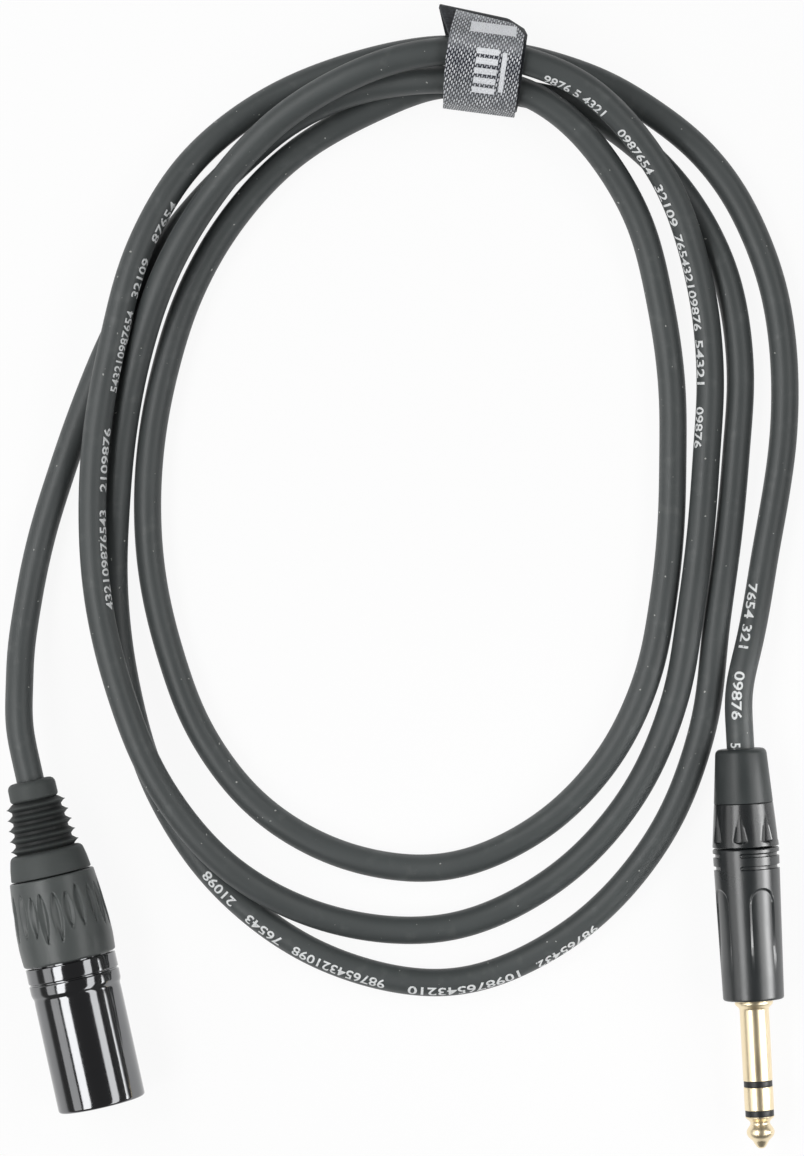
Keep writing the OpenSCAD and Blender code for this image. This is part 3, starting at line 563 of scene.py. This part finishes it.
xlr_boot = piece("xlr_soft_boot", set_in(bm, xlr_place), boot_rubber, "xlr_boot", "xlr_boot",
                 slot="boot_rubber", sharp=50)

# %% [markdown]
# ## XLR plug, grip
# The grip is the screwed ring that squeezes the cable chuck. Fingers hold it by shallow pressed flutes,
# each a thin lens with one steep flank, and no two quite alike. The flutes are pressed into a turned
# skin: its grid is fine enough that every point near a flute can sink towards the axis.

# %% Grip
grip_plastic = Finish("grip_plastic")
cloud = grip_plastic.noise(120, detail=5.0)
grip_plastic.feed("Base Color", grip_plastic.mix(cloud, tone(72, 76, 75), tone(88, 92, 91)))
grip_plastic.feed("Roughness", 0.3 + cloud * 0.14)
grip_plastic.feed("Normal", grip_plastic.relief(grip_plastic.noise(1800), 0.012))

bm = lathe([(6.05, 21.0), (9.2, 21.0, 0.35), (9.62, 24.5, 3), (9.95, 28.4, 3), (10.22, 32.3, 3),
            (10.3, 36.1, 2.5), (10.05, 39.4, 0.5), (8.25, 39.4), (8.25, 28.4), (6.05, 28.4)],
           steps=264, fine=0.4)
flute_count, flute_start, flute_stop = 22, 23.8, 34.2
flute_half, flute_depth = 1.15, 0.6
# where a flute is deepest, as a share of its half width: off its middle, which makes one flank steep
valley = -0.35
flutes = [((k + 0.5 + chance.uniform(-0.18, 0.18)) * tau / flute_count,
           flute_start + chance.uniform(-0.6, 0.9),
           flute_stop + chance.uniform(-1.8, 1.0)) for k in range(flute_count)]

def flute_sink(out, turn, s):
    """How deep a place on the skin lies in a flute, from 0 to 1."""
    sink = 0
    for at, start, stop in flutes:
        f = (s - start) / (stop - start)
        if 0 < f < 1:
            half = flute_half * sin(pi * f ** 0.85)
            off = ((turn - at + pi) % tau - pi) * out / half
            if -1 < off < 1:
                sink = max(sink, (1 - off) / (1 - valley) if off > valley else (off + 1) / (1 + valley))
    return sink

for vert in bm.verts:
    out, turn, s = vert.co.xy.length, atan2(vert.co.y, vert.co.x), vert.co.z
    if out > 8.6 and 22 < s < 38:
        sink = flute_sink(out, turn, s)
        vert.co.xy *= 1 - flute_depth * sin(sink * pi / 2) / out
xlr_grip = piece("xlr_grip", set_in(bm, xlr_place), grip_plastic, "xlr_bushing", "xlr_bushing",
                 slot="grip_plastic", sharp=50)

# %% [markdown]
# ## XLR plug, shell
# The shell is turned from metal and plated black nickel, so it is a dark mirror. Its two rings, groove
# and straight nose are turned, its neck carries the thread for the grip, and a keyway runs down the
# inside of the socket. The thread is a helix pressed into the neck, one millimetre to the turn.

# %% Shell
black_nickel = Finish("black_nickel", Metallic=1.0)
smear, turned = black_nickel.noise(90, detail=4.0), black_nickel.noise(1500, detail=1.0)
black_nickel.feed("Base Color", black_nickel.mix(smear, (0.175, 0.18, 0.185), (0.22, 0.22, 0.225)))
black_nickel.feed("Roughness", 0.06 + smear * 0.08)
black_nickel.feed("Normal", black_nickel.relief(turned, 0.0015, black_nickel.relief(smear, 0.03)))

neck_r, bore_r = 8.2, 8.0
keyway_half, keyway_depth, keyway_start = 1.8, 0.6, 56

def thread_sink(s, turn):
    """How far the skin sinks in a thread of one millimetre to the turn."""
    return 0.12 * (1 - cos(tau * s - turn))

neck = [(neck_r, 29.2 + 0.2 * k) for k in range(50)]
bm = lathe([(5.7, 28.7, 0.2), (neck_r, 28.7, 0.3), *neck, (neck_r, 39.7), (9.85, 39.75, 0.15),
            (9.88, 42.95, 0.15), (9.6, 43.1, 0.08), (9.6, 43.4, 0.08), (9.88, 43.55, 0.15),
            (9.85, 45.7, 0.5), (9.42, 46.5, 0.4), (9.5, 47.4, 0.8), (9.5, 71.5, 0.6), (bore_r, 71.5, 0.3),
            (bore_r, 46.0), (7.0, 46.0), (7.0, 36.5), (5.7, 36.5)], steps=180, fine=0.9)
for vert in bm.verts:
    out, turn, s = vert.co.xy.length, atan2(vert.co.y, vert.co.x), vert.co.z
    at_top = abs(vert.co.x) < keyway_half and vert.co.y > 0
    if bore_r - 0.05 < out < bore_r + 0.4 and s > keyway_start and at_top:
        vert.co.y += keyway_depth
    if out > neck_r - 0.1 and 29.3 < s < 38.9:
        vert.co.xy *= 1 - thread_sink(s, turn) / out
xlr_shell = piece("xlr_metal_shell", set_in(bm, xlr_place), black_nickel, "lead", "xlr_shell",
                  slot="black_nickel", sharp=50)

# %% [markdown]
# ## Jack plug, boot and bushing
# Behind the barrel sits the same pair in a smaller size: a soft boot with rounded shoulders and a glossy
# screwed bushing. Round the bushing runs a crown of seven notches. Each is two flat facets that meet in
# a valley, narrow towards the cable and closed by a curved lip. The turned skin's columns are first
# shifted so that some of them run along the notches' edges, which keeps the facets crisp.

# %% Jack boot
bm = lathe([(cable_hole, 0, 0.3), (5.5, 0, 1.1), (6.4, 11.72, 0.08), (4.8, 11.72), (4.8, 13.8, 0.3),
            (cable_hole, 13.8)])
jack_boot = piece("jack_soft_boot", set_in(bm, jack_place), boot_rubber, "jack_boot", "jack_boot",
                  slot="boot_rubber", sharp=50)

# %% Notched bushing
bushing_black = Finish("bushing_black", Specular_IOR_Level=0.9)
haze = bushing_black.noise(150, detail=4.0)
bushing_black.feed("Base Color", bushing_black.mix(haze, tone(22, 24, 25), tone(34, 37, 38)))
bushing_black.feed("Roughness", 0.2 + haze * 0.12)
bushing_black.feed("Normal", bushing_black.relief(bushing_black.noise(900), 0.004))

notches, columns_each = 7, 20
notch_start, notch_length, notch_half, notch_depth = 14.2, 6, 1.7, 0.95
lip_at, lip_bow, lip_slope = 20.3, 0.5, 0.25
# the column that becomes a notch's edge, as a share of the way from its middle to the next one's border
edge = 0.55

bm = lathe([(4.85, 11.8), (6.4, 11.8, 0.15), (7.2, 21.2, 0.2), (5.8, 21.25), (5.8, 27.7, 0.3),
            (4.85, 27.7)], steps=notches * columns_each, fine=0.15)
for vert in bm.verts:
    out, turn, s = vert.co.xy.length, atan2(vert.co.y, vert.co.x), vert.co.z
    if s > 21.25 and out > 5.5:
        vert.co.xy *= 1 - thread_sink(s, turn) / out
    if out < 6.2 or s > 21:
        continue
    middle = round(turn / (tau / notches)) * tau / notches
    u, side = abs(turn - middle) / (pi / notches), 1 if turn > middle else -1
    f = limited((s - notch_start) / notch_length)
    half, whole = max(notch_half * f ** 0.85, 0.02), pi * out / notches
    across = u / edge * half if u <= edge else half + (u - edge) / (1 - edge) * (whole - half)
    lip = lip_at - lip_bow * (across / notch_half) ** 2
    sink = notch_depth * max(0, half - across) / notch_half * limited((lip - s) / lip_slope) if f > 0 else 0
    turn = middle + side * across / out
    vert.co.xy = Vector((cos(turn), sin(turn))) * (out - sink)
jack_bushing = piece("jack_notched_bushing", set_in(bm, jack_place), bushing_black, "jack_bushing",
                     "jack_bushing", slot="bushing_black", sharp=25)

# %% [markdown]
# ## Jack plug, barrel
# The barrel tapers a little towards the nose. Two grooves run round it but stop short of each other with
# rounded ends, and four arched panels are sunk into its sides, deep at the arch and fading out towards
# the nose. Columns of the skin are shifted to run along each panel's sides, and its rows are bent to run
# round the arch. Only then is the floor sunk, so that every edge of it falls on an edge of the mesh.

# %% Barrel finish and sizes
barrel_black = Finish("barrel_black", Specular_IOR_Level=0.95)
fog = barrel_black.noise(110, detail=4.0)
barrel_black.feed("Base Color", barrel_black.mix(fog, tone(24, 27, 28), tone(40, 44, 45)))
barrel_black.feed("Roughness", 0.22 + fog * 0.14)
barrel_black.feed("Normal", barrel_black.relief(barrel_black.noise(700), 0.004))

# radius and station of the barrel's rear end and nose
rear_r, rear_at, nose_r, nose_at = 7.2, 21.8, 6.6, 54.4
# of a panel: its half width with its walls and without them, the middle of its arch, and its depth
panels, panel_half, flat_half, arch_at, panel_depth = 4, 3.05, 2.6, 33.05, 0.38
wall = panel_half - flat_half
first_panel = radians(67.5)
# columns from a panel's middle to halfway to the next panel, and the one that runs along its side
columns, side_column = 24, 12
fade_start, fade_length = 30, 19
groove_stations, groove_half, groove_depth, groove_slope = (22.95, 25.65), 0.45, 0.5, 0.12
bridge_bearings, bridge_half = (radians(126), radians(306)), radians(25)

def panel_column(u, out):
    """Distance from a panel's middle to a column, where u is 0 there and 1 halfway to the next panel.
    The column before the side's one runs along the foot of the wall."""
    at, foot = u * columns, side_column - 1
    if at < foot:
        return flat_half * at / foot
    if at < side_column:
        return flat_half + wall * (at - foot)
    return panel_half + (pi / panels * out - panel_half) * (at - side_column) / (columns - side_column)

def groove_sink(out, turn, s):
    """Depth of the two grooves, which stop with round ends at the bridges between them."""
    bridge = min(abs((turn - bearing + pi) % tau - pi) for bearing in bridge_bearings)
    past_end = max(0, bridge_half - bridge) * out
    reach = min(hypot(s - groove, past_end) for groove in groove_stations)
    return groove_depth * limited((groove_half - reach) / groove_slope)

print("barrel with", panels, "panels and", len(groove_stations), "grooves")

# %% Barrel
bm = lathe([(5.85, 21.5), (7.0, 21.5, 0.15), (rear_r, rear_at), (nose_r, nose_at, 0.5),
            (4.2, nose_at, 0.1), (4.2, 50.0), (5.85, 50.0)], steps=panels * 2 * columns, fine=0.16)
for vert in bm.verts:
    out, turn, s = vert.co.xy.length, atan2(vert.co.y, vert.co.x), vert.co.z
    if out < 6.3 or s < 21.9 or s > 53:
        continue
    middle = first_panel + round((turn - first_panel) / (tau / panels)) * tau / panels
    u, side = abs(turn - middle) / (pi / panels), 1 if turn > middle else -1
    across = panel_column(u, out)
    arc = max(arch_at - s, flat_half)
    leg = min(arc, across if u < 0.5 else panel_half * (1 - u) / 0.5)
    ease = limited((s - 26.5) / 2) * limited((39 - s) / 8.5)
    s += (arc - sqrt(arc ** 2 - leg ** 2)) * ease
    out = rear_r - (rear_r - nose_r) * (s - rear_at) / (nose_at - rear_at)
    turn = middle + side * across / out
    inside = panel_half - hypot(across, max(0, arch_at - s))
    fade = max(0, 1 - ((s - fade_start) / fade_length) ** 3)
    sink = panel_depth * fade * limited(inside / wall) if s > 29 else 0
    sink = max(sink, groove_sink(out, turn, s))
    vert.co = (cos(turn) * (out - sink), sin(turn) * (out - sink), s)
jack_barrel = piece("jack_metal_barrel", set_in(bm, jack_place), barrel_black, "lead", "jack_barrel",
                    slot="barrel_black", sharp=28)

# %% [markdown]
# ## Jack plug, finger
# The finger is three gold contacts nested in each other with black rings between them: the sleeve with
# its collar, the ring, and the tip with its waist and bulb. Behind them, inside the barrel, each ends in
# a flat lug that a core is soldered to. The contacts are turned, and each lug is a scaled cube in the
# same mesh.

# %% Gold and black
gold = Finish("gold_plating", Metallic=1.0)
film, scratch = gold.noise(140, detail=4.0), gold.noise(1800, detail=2.0)
gold.feed("Base Color", gold.mix(film, (0.93, 0.77, 0.5), (0.99, 0.86, 0.62)))
gold.feed("Roughness", 0.25 + film * 0.16)
gold.feed("Normal", gold.relief(scratch, 0.001))
insulator = Finish("insulator_black", Roughness=0.4)
insulator.feed("Base Color", insulator.mix(insulator.noise(400), tone(18, 19, 20), tone(34, 35, 36)))
insulator.feed("Normal", insulator.relief(insulator.noise(1500), 0.006))

# %% Contacts and insulators
def add_lug(bm, low, high):
    """Adds a flat lug between two opposite corners."""
    size = Vector(high) - Vector(low)
    middle = Matrix.Translation((Vector(high) + Vector(low)) / 2)
    bmesh.ops.create_cube(bm, size=1, matrix=middle @ Matrix.Diagonal((*size, 1)))

# radii of the finger's outside, and of the nested tubes from the sleeve's bore in to the tip's rod
finger_r, black_r = 3.175, 3.1
sleeve_bore, ring_tube_r, ring_bore, rod_r = 2.3, 1.9, 1.4, 1.0
sleeve_end, ring_end = 71.95, 78.35
sleeve = [(sleeve_bore, 47.0), (5.85, 47.0, 0.2), (5.85, 50.0), (4.2, 50.0), (4.2, 54.6, 0.1),
          (4.05, 54.7, 0.1), (4.15, 54.95, 0.15), (4.1, 55.4, 0.2), (3.25, 56.2, 0.2), (finger_r, 56.5),
          (finger_r, sleeve_end, 0.12), (sleeve_bore, sleeve_end)]
rear_insulator = [(ring_tube_r, 45.0), (sleeve_bore, 45.0), (sleeve_bore, sleeve_end),
                  (black_r, 71.97, 0.08), (black_r, 73.23, 0.08), (ring_tube_r, 73.25)]
ring = [(ring_bore, 42.0), (ring_tube_r, 42.0), (ring_tube_r, 73.27), (finger_r, 73.27, 0.12),
        (finger_r, 78.33, 0.12), (ring_bore, ring_end)]
front_insulator = [(rod_r, 40.0), (ring_bore, 40.0), (ring_bore, ring_end), (black_r, 78.37, 0.08),
                   (black_r, 79.63, 0.08), (rod_r, 79.65)]
tip = [(0, 38.0), (rod_r, 38.0), (rod_r, 79.66), (finger_r, 79.66, 0.12), (3.1, 79.95, 0.1),
       (2.1, 80.85, 0.35), (2.1, 81.4, 0.3), (2.9, 82.5, 0.3), (3.08, 83.25, 0.35), (2.75, 84.1, 0.4),
       (1.75, 85.0, 0.35), (1.35, 85.75, 0.25), (0.9, 86.45, 0.3), (0.4, 86.68, 0.15), (0, 86.7)]
sleeve_lug = [(-4.21, -1.5, 36.0), (-3.71, 1.5, 47.5)]
ring_lug = [(ring_bore, -1.0, 38.0), (ring_tube_r, 1.0, 42.5)]
tip_lug = [(-rod_r, -0.25, 33.0), (rod_r, 0.25, 38.5)]

contacts = [
    ("jack_gold_sleeve", gold, "jack_sleeve", "gold_plating", sleeve, sleeve_lug),
    ("jack_rear_insulator", insulator, "jack_insulator_rear", "black_plastic", rear_insulator, None),
    ("jack_gold_ring", gold, "jack_ring", "gold_plating", ring, ring_lug),
    ("jack_front_insulator", insulator, "jack_insulator_front", "black_plastic", front_insulator, None),
    ("jack_gold_tip", gold, "jack_tip", "gold_plating", tip, tip_lug)]
for name, finish, node, slot, outline, lug_corners in contacts:
    bm = lathe(outline)
    if lug_corners:
        add_lug(bm, *lug_corners)
    piece(name, set_in(bm, jack_place), finish, "lead", node, slot=slot, sharp=40)

# %% [markdown]
# ## Parts inside the plugs
# The chuck, clamp, liner, insert, pins, contact spring and cores are hidden or seen only from the front.
# Their solids already have the right shape, so they stay, and each gets a finish of its own.

# %% Inner parts
contact_plating = Finish("contact_plating", Metallic=1.0)
tarnish = contact_plating.noise(300, detail=4.0)
contact_plating.feed("Base Color", contact_plating.mix(tarnish, (0.72, 0.56, 0.32), (0.85, 0.7, 0.42)))
contact_plating.feed("Roughness", 0.22 + tarnish * 0.2)
pale_plastic = Finish("pale_plastic", Roughness=0.5)
pale_plastic.feed("Base Color", pale_plastic.mix(pale_plastic.noise(200),
                                                 tone(196, 194, 186), tone(210, 208, 200)))
pale_plastic.feed("Normal", pale_plastic.relief(pale_plastic.noise(900), 0.01))
core_red = Finish("core_red", Roughness=0.38)
core_red.feed("Base Color", core_red.mix(core_red.noise(260), tone(150, 24, 20), tone(190, 40, 32)))
core_red.feed("Normal", core_red.relief(core_red.noise(1200), 0.008))
inner = {"xlr_chuck": pale_plastic, "jack_clamp": pale_plastic, "jack_liner": pale_plastic,
         "xlr_insert": insulator, "xlr_pin_1": contact_plating, "xlr_pin_2": contact_plating,
         "xlr_pin_3": contact_plating, "xlr_ground_contact": contact_plating, "xlr_cores": core_red,
         "jack_cores": core_red}
for node, finish in inner.items():
    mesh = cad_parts[node].data
    mesh.materials.clear()
    mesh.materials.append(finish.material)
print("inner parts", len(inner))

# %% [markdown]
# ## The cord's facts
# The lead leaves the XLR plug and carries the jack plug on its far end. Its line is worked out here in
# metres, and the list is not kept.

[tuple(p * MM) for p in cable_line]

# %% [markdown]
# ## Strap
# The strap is a loop of brushed black tape round the four strands. Its end is pressed together into a
# pull tab that flares out on one side, and a flap of hook tape with a woven label on it lies over the
# top. Each layer is a flat grid whose rows follow the strap's section and whose columns follow its
# width. The grid is bent into place point by point, and a Solidify modifier gives it its thickness.

# %% The strap's section
strap_middle = Vector((19.658, 109.799, 0))
strap_across = Vector((sin(strap_tilt), cos(strap_tilt), 0))
# (across, height) of the four strands' middles, and of the tab's end
strands = [(-3.428, 4.3), (4.252, 4.3), (2.398, 16.0), (-3.222, 10.995)]
tab = (11.25, 10.15)

def leaving(a, b):
    """Turn at which a taut band round circle a leaves it for circle b."""
    return atan2(b[1] - a[1], b[0] - a[0]) - acos((a[2] - b[2]) / hypot(b[0] - a[0], b[1] - a[1]))

def bent(circle, start, stop, grow=0):
    """Points of a band bent round a circle from one turn to another. It may lie a step further out."""
    swing = (stop - start) % tau
    steps = max(2, ceil(swing * 6))
    bearings = [start + swing * k / steps for k in range(steps + 1)]
    return [Vector(circle[:2]) + (circle[2] + grow) * Vector((cos(b), sin(b))) for b in bearings]

def even(points, count):
    """The same line in count equal steps, with its length."""
    runs = [0]
    for a, b in zip(points, points[1:]):
        runs.append(runs[-1] + (b - a).length)
    line = []
    for k in range(count + 1):
        at = runs[-1] * k / count
        i = max(n for n in range(len(runs) - 1) if runs[n] <= at + 1e-9)
        line.append(points[i].lerp(points[i + 1], min(1, (at - runs[i]) / (runs[i + 1] - runs[i]))))
    return line, runs[-1]

def cloth(line, length, start, sides, slip, columns):
    """Grid bent along the line. It begins start(g) millimetres along it, sides(v) are the two ends of a
    row, and slip(v, g) moves a point across, where g runs from 0 on the left to 1 on the right. The
    weave's own map gives a steep stretch half its length, as cloth stretched over a hard edge has."""
    bm = bmesh.new()
    uv = bm.loops.layers.uv.new("weave")
    rows = len(line) - 1
    pattern = [0]
    for a, b in zip(line, line[1:]):
        pattern.append(pattern[-1] + hypot(b.x - a.x, 0.5 * (b.y - a.y)))
    bmesh.ops.create_grid(bm, x_segments=columns, y_segments=rows, size=0.5)
    where = {}
    for vert in bm.verts:
        g, f = vert.co.x + 0.5, vert.co.y + 0.5
        f = start(g) / length + (1 - start(g) / length) * f
        i = min(int(f * rows + 1e-6), rows - 1)
        past = f * rows - i
        v, z = line[i].lerp(line[i + 1], past)
        low, high = sides(v)
        w = low + (high - low) * g
        where[vert] = (w, pattern[i] + (pattern[i + 1] - pattern[i]) * past)
        vert.co = (strap_middle + w * strap_way + (v + slip(v, g)) * strap_across + Vector((0, 0, z))) * MM
    for face in bm.faces:
        for loop in face.loops:
            loop[uv].uv = where[loop.vert]
    return bm

def thicken(made, thickness, soft):
    """Gives a sheet its thickness, half of it on each side, and softly rounded rims."""
    wall = made.modifiers.new("thickness", "SOLIDIFY")
    wall.thickness, wall.offset, wall.use_even_offset = thickness * MM, 0, True
    rim = made.modifiers.new("soft_rim", "BEVEL")
    rim.width, rim.segments, rim.limit_method, rim.angle_limit = soft * MM, 2, "ANGLE", radians(50)

# %% Loop tape
loop_tape = Finish("loop_tape", Roughness=0.85, Sheen_Weight=0.12, Sheen_Roughness=0.5)
fuzz = loop_tape.noise(1500, detail=4.0)
loop_tape.feed("Base Color", loop_tape.mix(fuzz.ramp(0.3, 0.75), tone(18, 21, 25), tone(50, 54, 60)))
loop_tape.feed("Normal", loop_tape.relief(fuzz, 0.12))

# %% Band
# the band's middle lies 3.8 mm from the strands' middles, and turns sharply at the tab's end
belt = [(v, z, 3.8) for v, z in strands]
belt.insert(2, (*tab, 0.5))
loop_line = []
for k, circle in enumerate(belt):
    before, after = belt[k - 1], belt[(k + 1) % len(belt)]
    loop_line += bent(circle, leaving(before, circle), leaving(circle, after))
loop_line.append(loop_line[0])
band_line, band_length = even(loop_line, 120)

def band_sides(v):
    """The band is 16 mm wide. Its tab flares out on the left and narrows a little on the right."""
    return -strap_half - 0.47 * max(0, v - 4), strap_half - 0.3 * max(0, v - 9)

def tab_slip(v, g):
    """The tab's end is cut at a slant and rounded off at its right corner."""
    return max(0, v - 6) / 6.25 * (0.5 - 1.6 * g - 1.6 * max(0, g - 0.8) / 0.2)

bm = cloth(band_line, band_length, lambda g: 0, band_sides, tab_slip, columns=32)
bmesh.ops.remove_doubles(bm, verts=bm.verts[:], dist=1e-6)
band = piece("strap_loop_band", bm, loop_tape, "lead", "strap_band", slot="loop_fabric", sharp=60)
thicken(band, 1.0, soft=0.2)

# %% [markdown]
# ## Hook tape and label
# The flap is a rigid panel here, hinged low on the inner side. Its under layer is hook tape. On top sits
# a heathered label: pale threads show as slim ovals between dark ones, row by row, and their number
# changes in bands down the label. Where a label would carry words, plain woven bars fill the place.

# %% Hook tape
hook_tape = Finish("hook_tape", Roughness=0.7)
hooks = hook_tape.noise(1900, detail=2.0)
hook_tape.feed("Base Color", hook_tape.mix(hooks.ramp(0.4, 0.7), tone(20, 22, 24), tone(44, 47, 50)))
hook_tape.feed("Normal", hook_tape.relief(hooks, 0.15))

# %% Woven label
label_weave = Finish("label_weave", Roughness=0.8, Sheen_Weight=0.2)
spot = label_weave.add("UVMap", {"uv_map": "weave"})
wide, down = label_weave.axis(spot, 0), label_weave.axis(spot, 1)
lean = wide + down * 0.12
row_height, label_length = 1.14, 30

def ovals(shift):
    """Grows from 0 in the middle of each oval to 1 at its rim."""
    x = ((lean + shift).part() - 0.5) / 0.2
    y = ((down / row_height + shift).part() - 0.5) / 0.42
    return x * x + y * y

def bar(left, right, top, bottom):
    """Is 1 inside a rectangle of the weave's map, in millimetres."""
    return (wide > left) * (wide < right) * (down > top) * (down < bottom)

thread = 1 - ovals(0.0).least(ovals(0.5)).ramp(0.4, 1.05)
luck = label_weave.noise(700, detail=1.0).ramp(0.3, 0.7)
shade = label_weave.add("ValToRGB", {"stops": [
    (0.0, (0.33, 0.34, 0.36)), (0.09, (0.3, 0.31, 0.33)), (0.15, (0.09, 0.095, 0.105)),
    (0.26, (0.1, 0.105, 0.115)), (0.34, (0.2, 0.205, 0.22)), (0.41, (0.015, 0.017, 0.03)),
    (0.54, (0.02, 0.022, 0.035)), (0.61, (0.05, 0.054, 0.062)), (0.8, (0.13, 0.135, 0.145))]},
    {0: down / label_length})
pale = label_weave.mix(luck, tone(190, 194, 200), tone(240, 242, 246))
woven = label_weave.mix(thread * (0.8 + luck * 0.2), shade, pale)
rungs = bar(-2.3, 2.5, 10.9, 21.15) * (((down - 10.9) / 2.05).part() < 0.62)
bars = rungs + bar(3.3, 4.3, 11.4, 19.7) + bar(-4.3, 5.6, 4.4, 7.4)
woven = label_weave.mix(bars, woven, tone(246, 248, 252))
label_weave.feed("Base Color", woven)
label_weave.feed("Normal", label_weave.relief(thread + bars * 0.8 + label_weave.noise(2400) * 0.3, 0.14))

# %% Flap layers
# the flap lies on the band, whose outer face is 4.3 mm from the strands' middles
tab_end = (*tab, 1.0)
hug = [(v, z, 4.3) for v, z in strands]
over_tab, over_top = leaving(tab_end, hug[2]), leaving(hug[2], hug[3])
down_side, at_hinge = leaving(hug[3], hug[0]), radians(200)

def panel_line(grow):
    """The flap's line, from the tab over the two upper strands and down to its hinge."""
    start = Vector(tab) + (tab_end[2] + grow) * Vector((cos(over_tab), sin(over_tab)))
    return even([start] + bent(hug[2], over_tab, over_top, grow) + bent(hug[3], over_top, down_side, grow)
                + bent(hug[0], down_side, at_hinge, grow), 90)

def flap_start(g):
    """The upper edge is slanted and curves away at its right corner."""
    return 2.05 + 3.1 * g + 3.6 * (max(0, g - 0.8) / 0.2) ** 1.5

def flap_sides(v):
    """The left side bows out a little, and the right one widens towards the hinge."""
    return -8.7 + 0.0075 * (v - 1) ** 2, 7.35 + 0.035 * max(0, -v)

for name, finish, node, slot, height in (
        ("strap_hook_layer", hook_tape, "strap_hook_tape", "hook_fabric", 0.6),
        ("strap_woven_label", label_weave, "strap_label", "label_weave", 1.0)):
    line, length = panel_line(height)
    bm = cloth(line, length, flap_start, flap_sides, lambda v, g: 0, columns=40)
    thicken(piece(name, bm, finish, "strap_flap", node, slot=slot, sharp=60), 0.4, soft=0.12)
    print(name, "is", round(length, 1), "mm long")

# %% [markdown]
# ## Size
# This cell only prints a closing line.

# %% Size
print("scene set up")
